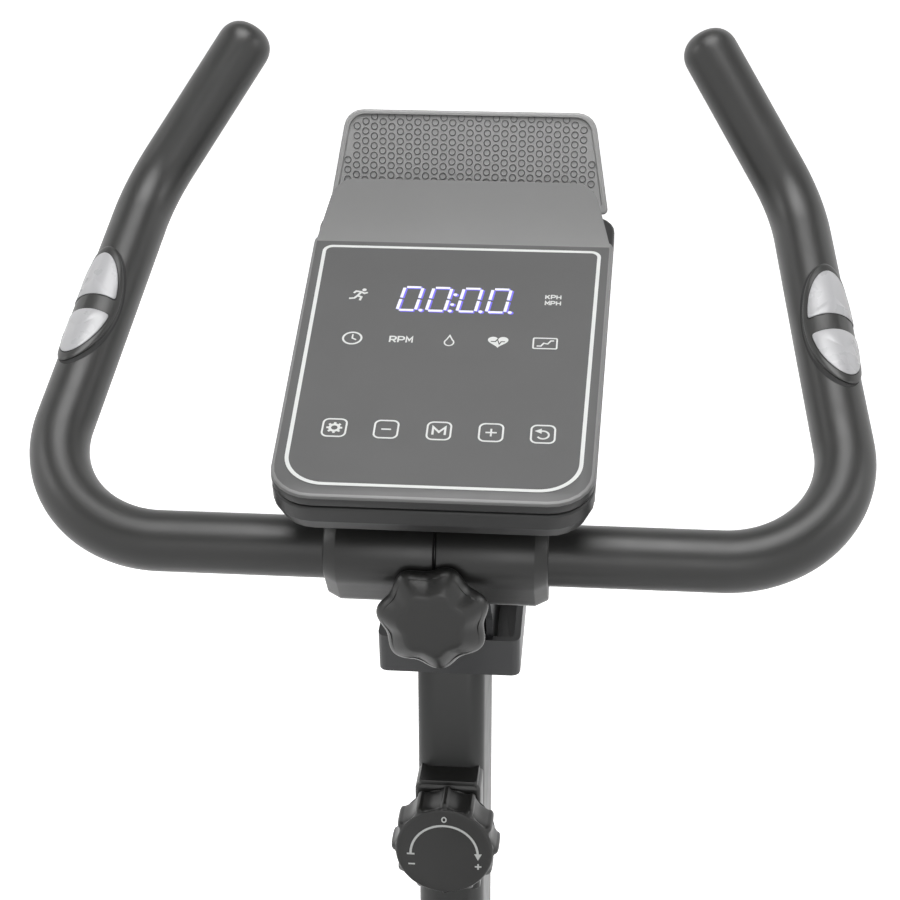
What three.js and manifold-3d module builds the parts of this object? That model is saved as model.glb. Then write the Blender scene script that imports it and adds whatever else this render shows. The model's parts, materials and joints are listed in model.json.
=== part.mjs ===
// Upright magnetic exercise bike. Millimetres, +Z up, floor at z = 0.
// The rider faces +Y, and +X is the rider's right.
// The head group is drawn about the middle of the handlebar's crossbar, the console about its lower
// front edge.

import * as THREE from 'three';
import * as BufferGeometryUtils from 'three/addons/utils/BufferGeometryUtils.js';
import Module from 'manifold-3d';

const wasm = await Module();
wasm.setup();

// ---------------------------------------------------------------- driving dimensions

const GAP = 0.3; // between touching pieces
const degrees = THREE.MathUtils.degToRad;

const FRAME = {
  frontY: 430, rearY: -476, tubeRadius: 25, tubeHeight: 38, halfWidth: 231, capEnd: 240,
  spineWidth: 60, spineBottom: 55, spineTop: 105, wall: 3,
};
const CRANK = {
  y: -40, z: 290, shellRadius: 26, shellHalf: 36, axleRadius: 10, arm: 165, angle: -38, spindle: 6.5,
};
const SEAT = {
  lean: 20, tubeWidth: 46, tubeDepth: 86, tubeWall: 3, top: 372, pinDrop: 34,
  postWidth: 39, postDepth: 79, postWall: 2.5, postTop: 500,
};
const FLYWHEEL = { y: 318, z: 262, radius: 112, halfWidth: 14, hubRadius: 32 };
const BELT = { x: 42, width: 8, pulleyRadius: 105, thickness: 2.5, slack: 0.9 };
const MAGNET = { inner: 119.5, outer: 126.5 };
const SHROUD = { half: 66, wall: 3, bevel: 10 };

const BAR = {
  y: 170, z: 1090, tube: 12.7, wall: 1.5, sleeve: 17, bore: 13.6, sleeveStart: 55,
  corner: [231.5, 0, 0], cornerBend: 68,
  kink: [199.9, 228.6, 104.4], kinkBend: 74,
  tip: [146.1, 284.7, 179],
};
const MAST = {
  y: 98, z: -110, lean: 9, width: 41, depth: 84, wall: 2.5, top: -4, bottom: -582, socketTop: -485,
};
const CONSOLE = { y: -41.6, z: 60.8, tilt: 9.8, faceTop: 223, back: 268, slab: 8, depth: 30 };
const CLAMP = { half: 61, radius: 21.5, skirtRadius: 14, skirtY: 2, skirtZ: -21.5, wall: 2.2 };
const STAR = { y: -44.2, z: -20.7, tilt: 9, radius: 27.5, lobe: 3.5, lobes: 7, height: 18, bolt: 4 };
const DIAL = { drop: 122.5, face: 43, radius: 31, ribs: 12, height: 23 };
const PULSE = { middle: 152, halfLength: 43, halfWidth: 18.2, angle: 20, inner: 17.3, outer: 18.5 };
const REST = { v: 264, w: -5.2, tilt: 55, length: 61, bottomHalf: 86, topHalf: 76, thickness: 4 };
const SADDLE = { y: -222, z: 765.3, cushion: 62, base: 16 };

const FINISH = {
  steel: { color: 0x24262a, roughness: 0.45, metalness: 0.4 },
  post: { color: 0x2e3032, roughness: 0.5, metalness: 0.2 },
  plastic: { color: 0x2b2c2e, roughness: 0.55, metalness: 0 },
  shroud: { color: 0x303234, roughness: 0.5, metalness: 0 },
  foam: { color: 0x3c3d3e, roughness: 0.7, metalness: 0 },
  console: { color: 0x5c5d5f, roughness: 0.5, metalness: 0 },
  panel: { color: 0x6d6e70, roughness: 0.35, metalness: 0 },
  bright: { color: 0xe4e5e6, roughness: 0.25, metalness: 0.6 },
  iron: { color: 0x4a4c50, roughness: 0.5, metalness: 0.8 },
  rubber: { color: 0x1a1a1b, roughness: 0.85, metalness: 0 },
  board: { color: 0x1f4a33, roughness: 0.6, metalness: 0 },
  cushion: { color: 0x202122, roughness: 0.75, metalness: 0 },
};

// ---------------------------------------------------------------- scene graph helpers

const bike = new THREE.Group();

function part(name, geometry, finish, parent = bike) {
  const mesh = new THREE.Mesh(geometry, new THREE.MeshStandardMaterial(FINISH[finish]));
  mesh.name = name;
  parent.add(mesh);
  return mesh;
}

function frameAt(x, y, z, tilt = 0, parent = bike) {
  const group = new THREE.Group();
  group.position.set(x, y, z);
  group.rotation.x = degrees(tilt);
  parent.add(group);
  return group;
}

// ---------------------------------------------------------------- cutting and joining

function toSolid(geometry) {
  let bare = geometry.index ? geometry.toNonIndexed() : geometry.clone();
  bare.deleteAttribute('normal');
  bare.deleteAttribute('uv');
  bare = BufferGeometryUtils.mergeVertices(bare, 1e-4);
  const mesh = new wasm.Mesh({
    numProp: 3,
    vertProperties: new Float32Array(bare.attributes.position.array),
    triVerts: new Uint32Array(bare.index.array),
  });
  return new wasm.Manifold(mesh);
}

function toGeometry(solid) {
  const mesh = solid.getMesh();
  const geometry = new THREE.BufferGeometry();
  geometry.setAttribute('position', new THREE.BufferAttribute(new Float32Array(mesh.vertProperties), 3));
  geometry.setIndex(new THREE.BufferAttribute(new Uint32Array(mesh.triVerts), 1));
  return geometry;
}

function cut(geometry, ...tools) {
  return toGeometry(tools.reduce((solid, tool) => solid.subtract(toSolid(tool)), toSolid(geometry)));
}

function join(geometry, ...others) {
  return toGeometry(others.reduce((solid, other) => solid.add(toSolid(other)), toSolid(geometry)));
}

function common(geometry, other) {
  return toGeometry(toSolid(geometry).intersect(toSolid(other)));
}

// ---------------------------------------------------------------- outlines

// Points of a corner rounded with its radius, between the corner before and the corner after.
function roundCorner(before, corner, after, radius, steps) {
  const toBefore = before.clone().sub(corner).normalize();
  const toAfter = after.clone().sub(corner).normalize();
  const half = Math.acos(THREE.MathUtils.clamp(toBefore.dot(toAfter), -1, 1)) / 2;
  const middle = toBefore.clone().add(toAfter).normalize();
  const center = corner.clone().addScaledVector(middle, radius / Math.sin(half));
  const tangent = radius / Math.tan(half);
  const start = corner.clone().addScaledVector(toBefore, tangent).sub(center);
  const end = corner.clone().addScaledVector(toAfter, tangent).sub(center);
  const sweepAngle = Math.PI - 2 * half;
  return Array.from({ length: steps + 1 }, (_, i) => {
    const angle = (sweepAngle * i) / steps;
    const weightStart = Math.sin(sweepAngle - angle) / Math.sin(sweepAngle);
    const weightEnd = Math.sin(angle) / Math.sin(sweepAngle);
    return center.clone().addScaledVector(start, weightStart).addScaledVector(end, weightEnd);
  });
}

// A closed outline from corners [x, y, radius]; the corners run anticlockwise.
function outline(corners, steps = 5) {
  const at = corners.map(([x, y]) => new THREE.Vector2(x, y));
  const count = at.length;
  const points = corners.flatMap(([, , radius], i) => (radius
    ? roundCorner(at[(i + count - 1) % count], at[i], at[(i + 1) % count], radius, steps)
    : [at[i]]));
  return new THREE.Shape(points);
}

function circle(radius, segments = 24, x = 0, y = 0) {
  const points = Array.from({ length: segments }, (_, i) => {
    const angle = (2 * Math.PI * i) / segments;
    return new THREE.Vector2(x + radius * Math.cos(angle), y + radius * Math.sin(angle));
  });
  return new THREE.Shape(points);
}

// Two straight sides joined by half circles.
function flatOval(width, depth, steps = 9) {
  const radius = width / 2;
  const straight = depth / 2 - radius;
  const points = [1, -1].flatMap((end) => Array.from({ length: steps + 1 }, (_, i) => {
    const angle = (Math.PI * i) / steps;
    return new THREE.Vector2(end * radius * Math.cos(angle), end * (straight + radius * Math.sin(angle)));
  }));
  return new THREE.Shape(points);
}

// The outline around two circles, such as a crank arm's.
function strap(y1, z1, radius1, y2, z2, radius2, steps = 10) {
  const direction = Math.atan2(z2 - z1, y2 - y1);
  const open = Math.acos((radius1 - radius2) / Math.hypot(y2 - y1, z2 - z1));
  const arc = (y, z, radius, from, to) => Array.from({ length: steps + 1 }, (_, i) => {
    const angle = from + ((to - from) * i) / steps;
    return new THREE.Vector2(y + radius * Math.cos(angle), z + radius * Math.sin(angle));
  });
  const far = arc(y2, z2, radius2, direction - open, direction + open);
  const near = arc(y1, z1, radius1, direction + open, direction + 2 * Math.PI - open);
  return new THREE.Shape([...far, ...near]);
}

function withHoles(shape, ...holes) {
  shape.holes.push(...holes.map((hole) => new THREE.Path(hole.getPoints())));
  return shape;
}

// ---------------------------------------------------------------- solids

// Extrudes upwards from z = bottom to z = top. A bevel rounds both ends without growing the outline.
function upright(shape, bottom, top, bevel = 0, bevelSegments = 2) {
  const geometry = new THREE.ExtrudeGeometry(shape, {
    depth: top - bottom - 2 * bevel,
    bevelEnabled: bevel > 0,
    bevelThickness: bevel,
    bevelSize: bevel,
    bevelOffset: -bevel,
    bevelSegments,
    curveSegments: 12,
  });
  return geometry.translate(0, 0, bottom + bevel);
}

const ACROSS = new THREE.Matrix4().makeBasis(
  new THREE.Vector3(0, 1, 0), new THREE.Vector3(0, 0, 1), new THREE.Vector3(1, 0, 0),
);

// Extrudes an outline drawn in (y, z) sideways, from x = left to x = right.
function across(shape, left, right, bevel = 0, bevelSegments = 2) {
  return upright(shape, left, right, bevel, bevelSegments).applyMatrix4(ACROSS);
}

// A solid turned about the x axis at (y, z). The profile holds [x, radius] from left to right; one that
// starts off the axis closes on itself.
function turned(profile, y = 0, z = 0, segments = 28) {
  const points = profile.map(([x, radius]) => new THREE.Vector2(radius, x));
  const closed = points[0].x > 0 ? [...points, points[0].clone()] : points;
  const geometry = new THREE.LatheGeometry(closed, segments);
  return geometry.rotateZ(-Math.PI / 2).translate(0, y, z);
}

function rod(radius, left, right, y = 0, z = 0, segments = 20) {
  return across(circle(radius, segments, y, z), left, right);
}

function block(left, right, back, front, bottom, top) {
  const geometry = new THREE.BoxGeometry(right - left, front - back, top - bottom);
  return geometry.translate((left + right) / 2, (back + front) / 2, (bottom + top) / 2);
}

// Points the local z axis of a geometry along -Y and up by the angle, with its origin at (y, z).
function facingRider(geometry, y, z, angle) {
  return geometry.rotateX(Math.PI / 2 - degrees(angle)).translate(0, y, z);
}

// A centre line of straight runs and bends, with a step only where it turns.
class Route extends THREE.Curve {
  constructor(corners, steps = 6) {
    super();
    const at = corners.map(([point]) => new THREE.Vector3(...point));
    this.points = corners.flatMap(([, radius], i) => (radius
      ? roundCorner(at[i - 1], at[i], at[i + 1], radius, steps)
      : [at[i]]));
  }

  getPoint(t, target = new THREE.Vector3()) {
    const place = THREE.MathUtils.clamp(t, 0, 1) * (this.points.length - 1);
    const i = Math.min(Math.floor(place), this.points.length - 2);
    return target.lerpVectors(this.points[i], this.points[i + 1], place - i);
  }

  getUtoTmapping(u) {
    return u;
  }
}

function sweep(route, shape) {
  return new THREE.ExtrudeGeometry(shape, { steps: route.points.length - 1, extrudePath: route });
}

// ---------------------------------------------------------------- base frame

function buildFrame() {
  const { frontY, rearY, tubeRadius, tubeHeight, halfWidth, wall } = FRAME;
  const { spineWidth, spineBottom, spineTop } = FRAME;
  const half = spineWidth / 2;
  const section = outline([
    [-half, spineBottom, 8], [half, spineBottom, 8], [half, spineTop, 8], [-half, spineTop, 8],
  ], 4);
  const spine = upright(section, -frontY - 14, 14 - rearY).rotateX(Math.PI / 2);
  const hollow = block(
    -half + wall, half - wall, rearY + 40, frontY - 40, spineBottom + wall, spineTop - wall,
  );
  const drain = upright(circle(9, 16), spineBottom - 5, spineBottom + 10);
  const saddles = [frontY, rearY].map((y) => rod(tubeRadius + GAP, -50, 50, y, tubeHeight, 24));
  part('base_spine', cut(spine, hollow, drain, ...saddles), 'steel');

  for (const [name, y] of [['front', frontY], ['rear', rearY]]) {
    const bore = circle(tubeRadius - wall, 16, y, tubeHeight);
    const tube = withHoles(circle(tubeRadius, 24, y, tubeHeight), bore);
    part(`${name}_stabilizer`, across(tube, -halfWidth, halfWidth), 'steel');
  }
}

function buildFeet() {
  const { frontY, rearY, tubeRadius, tubeHeight, halfWidth, capEnd } = FRAME;
  const start = 190;
  const wheelY = frontY + 54;
  const wheelZ = 27;
  for (const [side, s] of [['left', -1], ['right', 1]]) {
    const span = (a, b) => [Math.min(s * a, s * b), Math.max(s * a, s * b)];
    const socket = (y) => rod(tubeRadius + GAP, ...span(start - 5, halfWidth + GAP), y, tubeHeight, 24);

    const frontShape = outline([
      [frontY - 31, 0, 12], [frontY + 31, 0, 12], [frontY + 31, 68, 24], [frontY - 31, 68, 24],
    ], 3);
    const ears = outline([
      [frontY, 14], [wheelY + 12, 14, 11], [wheelY + 12, 40, 11], [frontY, 40],
    ], 3);
    const frontCap = join(
      across(frontShape, ...span(start, capEnd), 4, 1),
      across(ears, ...span(start + 3, capEnd - 3)),
    );
    const slot = block(...span(start + 15.5, start + 34.5), frontY + 28.5, frontY + 90, -5, 80);
    const pin = rod(3.4, ...span(start + 10, start + 40), wheelY, wheelZ, 12);
    part(`front_cap_${side}`, cut(frontCap, socket(frontY), slot, pin), 'rubber');

    const wheelMiddle = s * (start + 25);
    const wheel = turned([
      [-13, 0], [-13, 3], [-8, 3], [-8, 20], [-6, 24], [6, 24], [8, 20], [8, 3], [13, 3], [13, 0],
    ], wheelY, wheelZ, 16).translate(wheelMiddle, 0, 0);
    part(`transport_wheel_${side}`, wheel, 'rubber');

    const rearShape = outline([
      [rearY - 30, 10, 8], [rearY + 30, 10, 8], [rearY + 30, 68, 24], [rearY - 30, 68, 24],
    ], 3);
    part(`rear_cap_${side}`, cut(across(rearShape, ...span(start, capEnd), 4, 1), socket(rearY)), 'rubber');

    const foot = upright(circle(19, 14), 0, 10 - GAP, 1.5, 1).translate(s * (start + 25), rearY, 0);
    part(`leveling_foot_${side}`, foot, 'rubber');
  }
}

// ---------------------------------------------------------------- upright tubes

// A leaning tube with its lower end cut level, on the spine.
function levelBottom(geometry, y, z, lean) {
  const floor = block(-80, 80, -400, 400, -400, FRAME.spineTop + GAP);
  return cut(geometry, floor.translate(0, -y, -z).rotateX(degrees(-lean)));
}

function seatGroup() {
  return frameAt(0, CRANK.y, CRANK.z, SEAT.lean);
}

function buildSeatTube() {
  const { tubeWidth, tubeDepth, tubeWall } = SEAT;
  const bore = flatOval(tubeWidth - 2 * tubeWall, tubeDepth - 2 * tubeWall);
  const tube = withHoles(flatOval(tubeWidth, tubeDepth), bore);
  const shell = rod(CRANK.shellRadius + 0.5, -60, 60, 0, 0, 20);
  const pinHole = upright(circle(5.5, 12), -20, 20)
    .rotateX(Math.PI / 2).translate(0, -tubeDepth / 2, SEAT.top - SEAT.pinDrop);
  const cleared = cut(upright(tube, -260, SEAT.top), shell, pinHole);
  part('seat_tube', levelBottom(cleared, CRANK.y, CRANK.z, SEAT.lean), 'steel', seatGroup());

  const knobProfile = [[0, 0], [5, 0], [5, 7.4], [9, 7.4], [11, 12], [17, 16], [19, 34], [15, 40], [0, 40]];
  const profile = knobProfile.map(([radius, out]) => new THREE.Vector2(radius, out));
  const knob = new THREE.LatheGeometry(profile, 16);
  knob.rotateX(Math.PI).translate(0, -tubeDepth / 2 + 1, SEAT.top - SEAT.pinDrop);
  part('seat_height_knob', knob, 'plastic', seatGroup());
}

function buildSeatPost() {
  const { postWidth, postDepth, postWall } = SEAT;
  const bore = flatOval(postWidth - 2 * postWall, postDepth - 2 * postWall);
  const tube = withHoles(flatOval(postWidth, postDepth), bore);
  const level = (geometry) => geometry.rotateX(degrees(-SEAT.lean)).translate(0, 0, SEAT.postTop);
  const stub = cut(upright(tube, SEAT.top - 170, SEAT.postTop + 30), level(block(-80, 80, -90, 90, 2, 90)));
  const plateShape = outline([[-42, -55, 10], [42, -55, 10], [42, 48, 10], [-42, 48, 10]], 3);
  const plate = level(upright(plateShape, 0, 5));
  part('seat_post', join(stub, plate), 'steel', seatGroup());
}

function buildSaddle() {
  const group = frameAt(0, SADDLE.y, SADDLE.z);
  const half = [
    [0, 140], [22, 134], [34, 112], [40, 60], [58, 8], [92, -42], [106, -84], [92, -122], [46, -132],
  ];
  const widened = (grow) => {
    const right = half.map(([x, y]) => new THREE.Vector2(x * grow, (y - 4) * grow));
    const left = [...right].slice(1).reverse().map((p) => new THREE.Vector2(-p.x, p.y));
    const around = [...right, ...left].map((p) => new THREE.Vector3(p.x, p.y, 0));
    const loop = new THREE.CatmullRomCurve3(around, true).getPoints(34).slice(0, -1);
    return new THREE.Shape(loop.map((p) => new THREE.Vector2(p.x, p.y)).reverse());
  };
  const { base, cushion } = SADDLE;
  part('saddle_cushion', upright(widened(1), base + GAP, base + cushion, 18, 2), 'cushion', group);
  part('saddle_base', upright(widened(0.94), 0, SADDLE.base, 4, 1), 'plastic', group);
}

// ---------------------------------------------------------------- drive train

function buildCrank() {
  const { y, z, shellRadius, shellHalf, axleRadius, arm, angle } = CRANK;
  const shell = withHoles(circle(shellRadius, 22, y, z), circle(20.2, 20, y, z));
  part('crank_shell', across(shell, -shellHalf, shellHalf), 'steel');
  for (const [side, s] of [['left', -1], ['right', 1]]) {
    const ring = withHoles(circle(19.8, 20, y, z), circle(axleRadius + GAP, 16, y, z));
    part(`crank_bearing_${side}`, across(ring, Math.min(s * 22, s * 34), Math.max(s * 22, s * 34)), 'iron');
  }

  const disc = withHoles(circle(BELT.pulleyRadius, 32, y, z), circle(axleRadius + GAP, 20, y, z));
  const windows = [0, 1, 2, 3, 4].map((i) => {
    const turn = (2 * Math.PI * i) / 5;
    return circle(21, 10, y + 62 * Math.cos(turn), z + 62 * Math.sin(turn));
  });
  part('drive_pulley', across(withHoles(disc, ...windows), BELT.x - 2, BELT.x + BELT.width + 2), 'plastic');
  part('crank_axle', rod(axleRadius, -69.7, 69.7, y, z), 'iron');

  for (const [side, s] of [['left', -1], ['right', 1]]) {
    const turn = degrees(angle) + (s < 0 ? Math.PI : 0);
    const endY = y + arm * Math.cos(turn);
    const endZ = z + arm * Math.sin(turn);
    const span = (a, b) => [Math.min(s * a, s * b), Math.max(s * a, s * b)];
    const blade = across(strap(y, z, 18, endY, endZ, 13), ...span(70, 84), 2.5, 1);
    const spindle = rod(CRANK.spindle, ...span(82, 186), endY, endZ, 16);
    part(`crank_arm_${side}`, join(blade, spindle), 'steel');
    buildPedal(side, s, endY, endZ);
  }
}

function buildPedal(side, s, y, z) {
  const group = frameAt(s * 138, y, z);
  const plan = outline([[-47, -52, 12], [47, -52, 12], [47, 52, 12], [-47, 52, 12]], 4);
  const windows = [-33, 33].map((middle) => outline([
    [-36, middle - 13, 5], [36, middle - 13, 5], [36, middle + 13, 5], [-36, middle + 13, 5],
  ], 3));
  const body = upright(withHoles(plan, ...windows), -13, 13, 2, 1);
  part(`pedal_${side}`, cut(body, rod(CRANK.spindle + GAP, -60, 60, 0, 0, 16)), 'plastic', group);

  const outer = outline([[-51.5, -10, 2], [51.5, -10, 2], [51.5, 62, 36], [-51.5, 62, 36]], 6);
  const inner = outline([[-47.6, -20], [47.6, -20], [47.6, 59.5, 33.5], [-47.6, 59.5, 33.5]], 6);
  const loop = upright(outer, -14, 14).rotateX(Math.PI / 2);
  const gap = upright(inner, -20, 20).rotateX(Math.PI / 2);
  part(`pedal_strap_${side}`, cut(loop, gap).translate(0, 24, 0), 'rubber', group);
}

function buildFlywheel() {
  const { y, z, radius, halfWidth, hubRadius } = FLYWHEEL;
  const wheel = turned([
    [-halfWidth, 8.3], [-halfWidth, 20], [-6, 24], [-6, radius - 26], [-halfWidth, radius - 22],
    [-halfWidth, radius], [halfWidth, radius], [halfWidth, radius - 22], [6, radius - 26], [6, 24],
    [halfWidth, 20], [halfWidth, 8.3],
  ], y, z, 24);
  part('flywheel', wheel, 'iron');
  const left = BELT.x - 2;
  const right = BELT.x + BELT.width + 2;
  const axle = turned([
    [-36, 0], [-36, 8], [left, 8], [left, hubRadius + 2], [left + 2, hubRadius], [right - 2, hubRadius],
    [right, hubRadius + 2], [right, 0],
  ], y, z, 20);
  part('flywheel_axle', axle, 'iron');

  const pivot = magnetPivot();
  for (const [side, s] of [['left', -1], ['right', 1]]) {
    const plate = outline([
      [y - 30, FRAME.spineTop + GAP], [y + 30, FRAME.spineTop + GAP], [y + 40, z - 40, 20],
      [pivot.y + 8, pivot.z - 7, 5], [pivot.y + 6, pivot.z + 7, 5], [pivot.y - 9, pivot.z + 6, 5],
      [y - 24, z + 24, 20],
    ], 4);
    const drilled = withHoles(plate, circle(8.5, 16, y, z), circle(4.4, 12, pivot.y, pivot.z));
    const fork = across(drilled, Math.min(s * 22, s * 27), Math.max(s * 22, s * 27));
    part(`flywheel_fork_${side}`, fork, 'steel');
  }

  const { pulleyRadius, slack, thickness } = BELT;
  const belt = withHoles(
    strap(CRANK.y, CRANK.z, pulleyRadius + slack + thickness, y, z, hubRadius + slack + thickness, 18),
    strap(CRANK.y, CRANK.z, pulleyRadius + slack, y, z, hubRadius + slack, 18),
  );
  part('drive_belt', across(belt, BELT.x + 0.5, BELT.x + BELT.width - 0.5), 'rubber');
}

function magnetPivot() {
  const angle = degrees(50);
  const reach = (MAGNET.inner + MAGNET.outer) / 2;
  return { y: FLYWHEEL.y + reach * Math.cos(angle), z: FLYWHEEL.z + reach * Math.sin(angle) };
}

function buildMagnetShoe() {
  const { y, z } = FLYWHEEL;
  const arc = (radius, from, to) => Array.from({ length: 13 }, (_, i) => {
    const angle = degrees(from + ((to - from) * i) / 12);
    return new THREE.Vector2(y + radius * Math.cos(angle), z + radius * Math.sin(angle));
  });
  const shoe = new THREE.Shape([...arc(MAGNET.outer, 48, 128), ...arc(MAGNET.inner, 128, 48)]);
  const pivot = magnetPivot();
  const pin = rod(4, -30, 30, pivot.y, pivot.z, 14);
  part('magnet_bracket', join(across(shoe, -12, 12), pin), 'iron');
}

// ---------------------------------------------------------------- shroud

function shroudOutline(inset) {
  const left = -186 + inset;
  const right = 456 - inset;
  const bottom = FRAME.spineTop + 1 + inset;
  return outline([
    [left, bottom, 34 - inset], [right, bottom, 60 - inset],
    [right, 402 - inset, 138 - inset], [left, 430 - inset, 138 - inset],
  ], 6);
}

function buildShroud() {
  const { half, wall, bevel } = SHROUD;
  const outer = across(shroudOutline(0), -half, half, bevel, 2);
  const inner = across(shroudOutline(wall), -half + wall, half - wall, bevel - wall, 2);
  const seatHole = upright(flatOval(SEAT.tubeWidth + 3, SEAT.tubeDepth + 3), -260, 330)
    .rotateX(degrees(SEAT.lean)).translate(0, CRANK.y, CRANK.z);
  const postHole = upright(flatOval(MAST.width + 11, MAST.depth + 11), -1000, 40)
    .rotateX(degrees(-MAST.lean)).translate(0, BAR.y + MAST.y, BAR.z + MAST.z);
  const axleHole = rod(14, -100, 100, CRANK.y, CRANK.z, 24);
  const forkHole = block(-28, 28, FLYWHEEL.y - 32, FLYWHEEL.y + 32, 90, FRAME.spineTop + 12);
  const shell = cut(outer, inner, seatHole, postHole, axleHole, forkHole);
  for (const [side, s] of [['left', -1], ['right', 1]]) {
    const otherSide = block(...(s < 0 ? [-GAP / 2, 200] : [-200, GAP / 2]), -400, 600, 0, 600);
    part(`shroud_${side}`, cut(shell, otherSide), 'shroud');
  }
}

// ---------------------------------------------------------------- handlebar post

function mastGroup(head) {
  return frameAt(0, MAST.y, MAST.z, -MAST.lean, head);
}

function buildPost(head) {
  const { width, depth, wall, top, bottom, socketTop } = MAST;
  const group = mastGroup(head);
  const tube = withHoles(flatOval(width, depth), flatOval(width - 2 * wall, depth - 2 * wall));
  const shaftHole = upright(circle(8, 14), -30, 30)
    .rotateX(Math.PI / 2).translate(0, -depth / 2, -DIAL.drop);
  part('handlebar_post', cut(upright(tube, bottom, top), shaftHole), 'post', group);

  const sleeve = withHoles(flatOval(width + 8, depth + 8), flatOval(width + 1, depth + 1));
  const cableHole = upright(circle(6, 12), -30, 30)
    .rotateX(Math.PI / 2).translate(0, depth / 2, bottom - 20);
  const socket = cut(upright(sleeve, -1100, socketTop), cableHole);
  part('post_socket', levelBottom(socket, BAR.y + MAST.y, BAR.z + MAST.z, -MAST.lean), 'steel', group);

  const nose = -depth / 2;
  const housingShape = outline([
    [-20, nose - 18, 4], [20, nose - 18, 4], [21.6, nose + 6, 2],
    [21.6, nose + 14, 0.6], [-21.6, nose + 14, 0.6], [-21.6, nose + 6, 2],
  ], 3);
  const fit = upright(flatOval(width + 2 * GAP, depth + 2 * GAP), -400, 20);
  const chamfer = block(-40, 40, -30, 30, -30, 30)
    .rotateX(degrees(45)).translate(0, nose - 37.2, -DIAL.drop + 55.2);
  const housing = upright(housingShape, -DIAL.drop - 44, -DIAL.drop + 36);
  const bore = upright(circle(7, 14), -60, 60).rotateX(Math.PI / 2).translate(0, nose, -DIAL.drop);
  part('tension_housing', cut(housing, fit, chamfer, bore), 'plastic', group);

  part('tension_knob', dialKnob(nose), 'plastic', group);
  part('tension_cable', sweep(cableRoute(), circle(2.5, 8)), 'rubber', group);
}

// The dial turns about the line square to the post's nose; its shaft reaches into the post.
function dialKnob(nose) {
  const points = Array.from({ length: DIAL.ribs * 4 }, (_, i) => {
    const angle = (2 * Math.PI * i) / (DIAL.ribs * 4);
    const radius = DIAL.radius + (i % 4 === 0 || i % 4 === 1 ? 1.5 : -0.8);
    return new THREE.Vector2(radius * Math.cos(angle), radius * Math.sin(angle));
  });
  const cap = upright(new THREE.Shape(points), 0, DIAL.height, 2, 1);
  const shaft = upright(circle(6, 14), -38, 6);
  return facingRider(join(cap, shaft), nose - DIAL.face + DIAL.height, -DIAL.drop, 0);
}

function cableRoute() {
  const end = MAST.bottom - 20;
  return new Route([
    [[0, -22, -DIAL.drop - 30], 0],
    [[0, -22, -DIAL.drop - 60], 20],
    [[0, 0, -DIAL.drop - 110], 30],
    [[0, 0, end], 26],
    [[0, 58, end], 0],
  ], 4);
}

// ---------------------------------------------------------------- handlebar clamp and post head

function boltAxis(radius, from, to, segments = 16) {
  return facingRider(upright(circle(radius, segments), from, to), STAR.y, STAR.z, STAR.tilt);
}

function buildPostHead(head) {
  const mastHole = upright(flatOval(MAST.width + 1, MAST.depth + 1), -200, 60)
    .rotateX(degrees(-MAST.lean)).translate(0, MAST.y, MAST.z);
  const tray = outline([[-42.5, 48, 5], [42.5, 48, 5], [42.5, 152, 8], [-42.5, 152, 8]], 3);
  const pocket = outline([[-38.5, 52, 3], [38.5, 52, 3], [38.5, 148, 5], [-38.5, 148, 5]], 3);
  const box = cut(upright(tray, -123, -97), upright(pocket, -119, -80), mastHole);
  const web = outline([
    [58, -121], [138, -121], [138, -100, 4], [96, -58, 10], [12, 14, 3], [-2, -18, 3], [20, -44, 6],
    [46, -80, 10],
  ], 3);
  const webs = [across(web, -26.5, -22.5), across(web, 22.5, 26.5)];
  const saddle = across(circle(18.4, 18), -26.5, 26.5);
  const boss = block(-23, 23, 4, 24, -42, -17);
  const riderSide = block(-60, 60, -60, 0.6, -17.5, 60);
  const below = block(-60, 60, -60, 3.5, -60, -17.4);
  const bar = rod(BAR.tube + GAP + 0.1, -60, 60, 0, 0, 18);
  const body = join(webs[0], webs[1], saddle, boss, box);
  part('post_head', cut(body, bar, riderSide, below, boltAxis(STAR.bolt + GAP, -90, 10)), 'steel', head);

  const cap = outline([
    [-17.5, -13, 12], [-7, -17], [-5, -30, 1], [-1.5, -30, 1], [-1.5, -13.6], [-GAP, -13.6],
    [-GAP, 17.5], [-17.5, 17.5, 16],
  ], 6);
  part('clamp_cap', cut(across(cap, -20, 20), bar, boltAxis(STAR.bolt + 1, -90, 10)), 'steel', head);
}

function buildClampCovers(head) {
  const { half, radius, skirtRadius, skirtY, skirtZ, wall } = CLAMP;
  const outer = across(strap(0, 0, radius, skirtY, skirtZ, skirtRadius, 12), -half, half, 3, 1);
  const within = strap(0, 0, radius - wall, skirtY, skirtZ, skirtRadius - wall, 12);
  const inner = across(within, -half + 5, half - 5);
  const bar = rod(BAR.sleeve + 0.4, -80, 80, 0, 0, 28);
  const stemHole = block(-27.5, 27.5, 3, 60, -60, 17);
  const bolt = boltAxis(STAR.bolt + 2.5, -90, 10);
  const shell = cut(outer, inner, bar, stemHole, bolt);
  for (const [side, s] of [['left', -1], ['right', 1]]) {
    const otherSide = block(...(s < 0 ? [-GAP, 80] : [-80, GAP]), -60, 60, -60, 60);
    part(`clamp_cover_${side}`, cut(shell, otherSide), 'plastic', head);
  }
}

function buildClampKnob(head) {
  const { radius, lobe, lobes, height, bolt } = STAR;
  const points = Array.from({ length: lobes * 6 }, (_, i) => {
    const angle = (2 * Math.PI * i) / (lobes * 6);
    const reach = radius + lobe * Math.cos(lobes * angle);
    return new THREE.Vector2(reach * Math.cos(angle), reach * Math.sin(angle));
  });
  const grip = upright(new THREE.Shape(points), -height, 0, 5, 1);
  const stud = upright(circle(bolt, 12), -height - 48, -height + 3);
  part('clamp_knob', facingRider(join(grip, stud), STAR.y, STAR.z, STAR.tilt), 'plastic', head);
}

// ---------------------------------------------------------------- handlebar, sleeves and pulse pads

const mirrored = (s, [x, y, z]) => [s * x, y, z];

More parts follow.
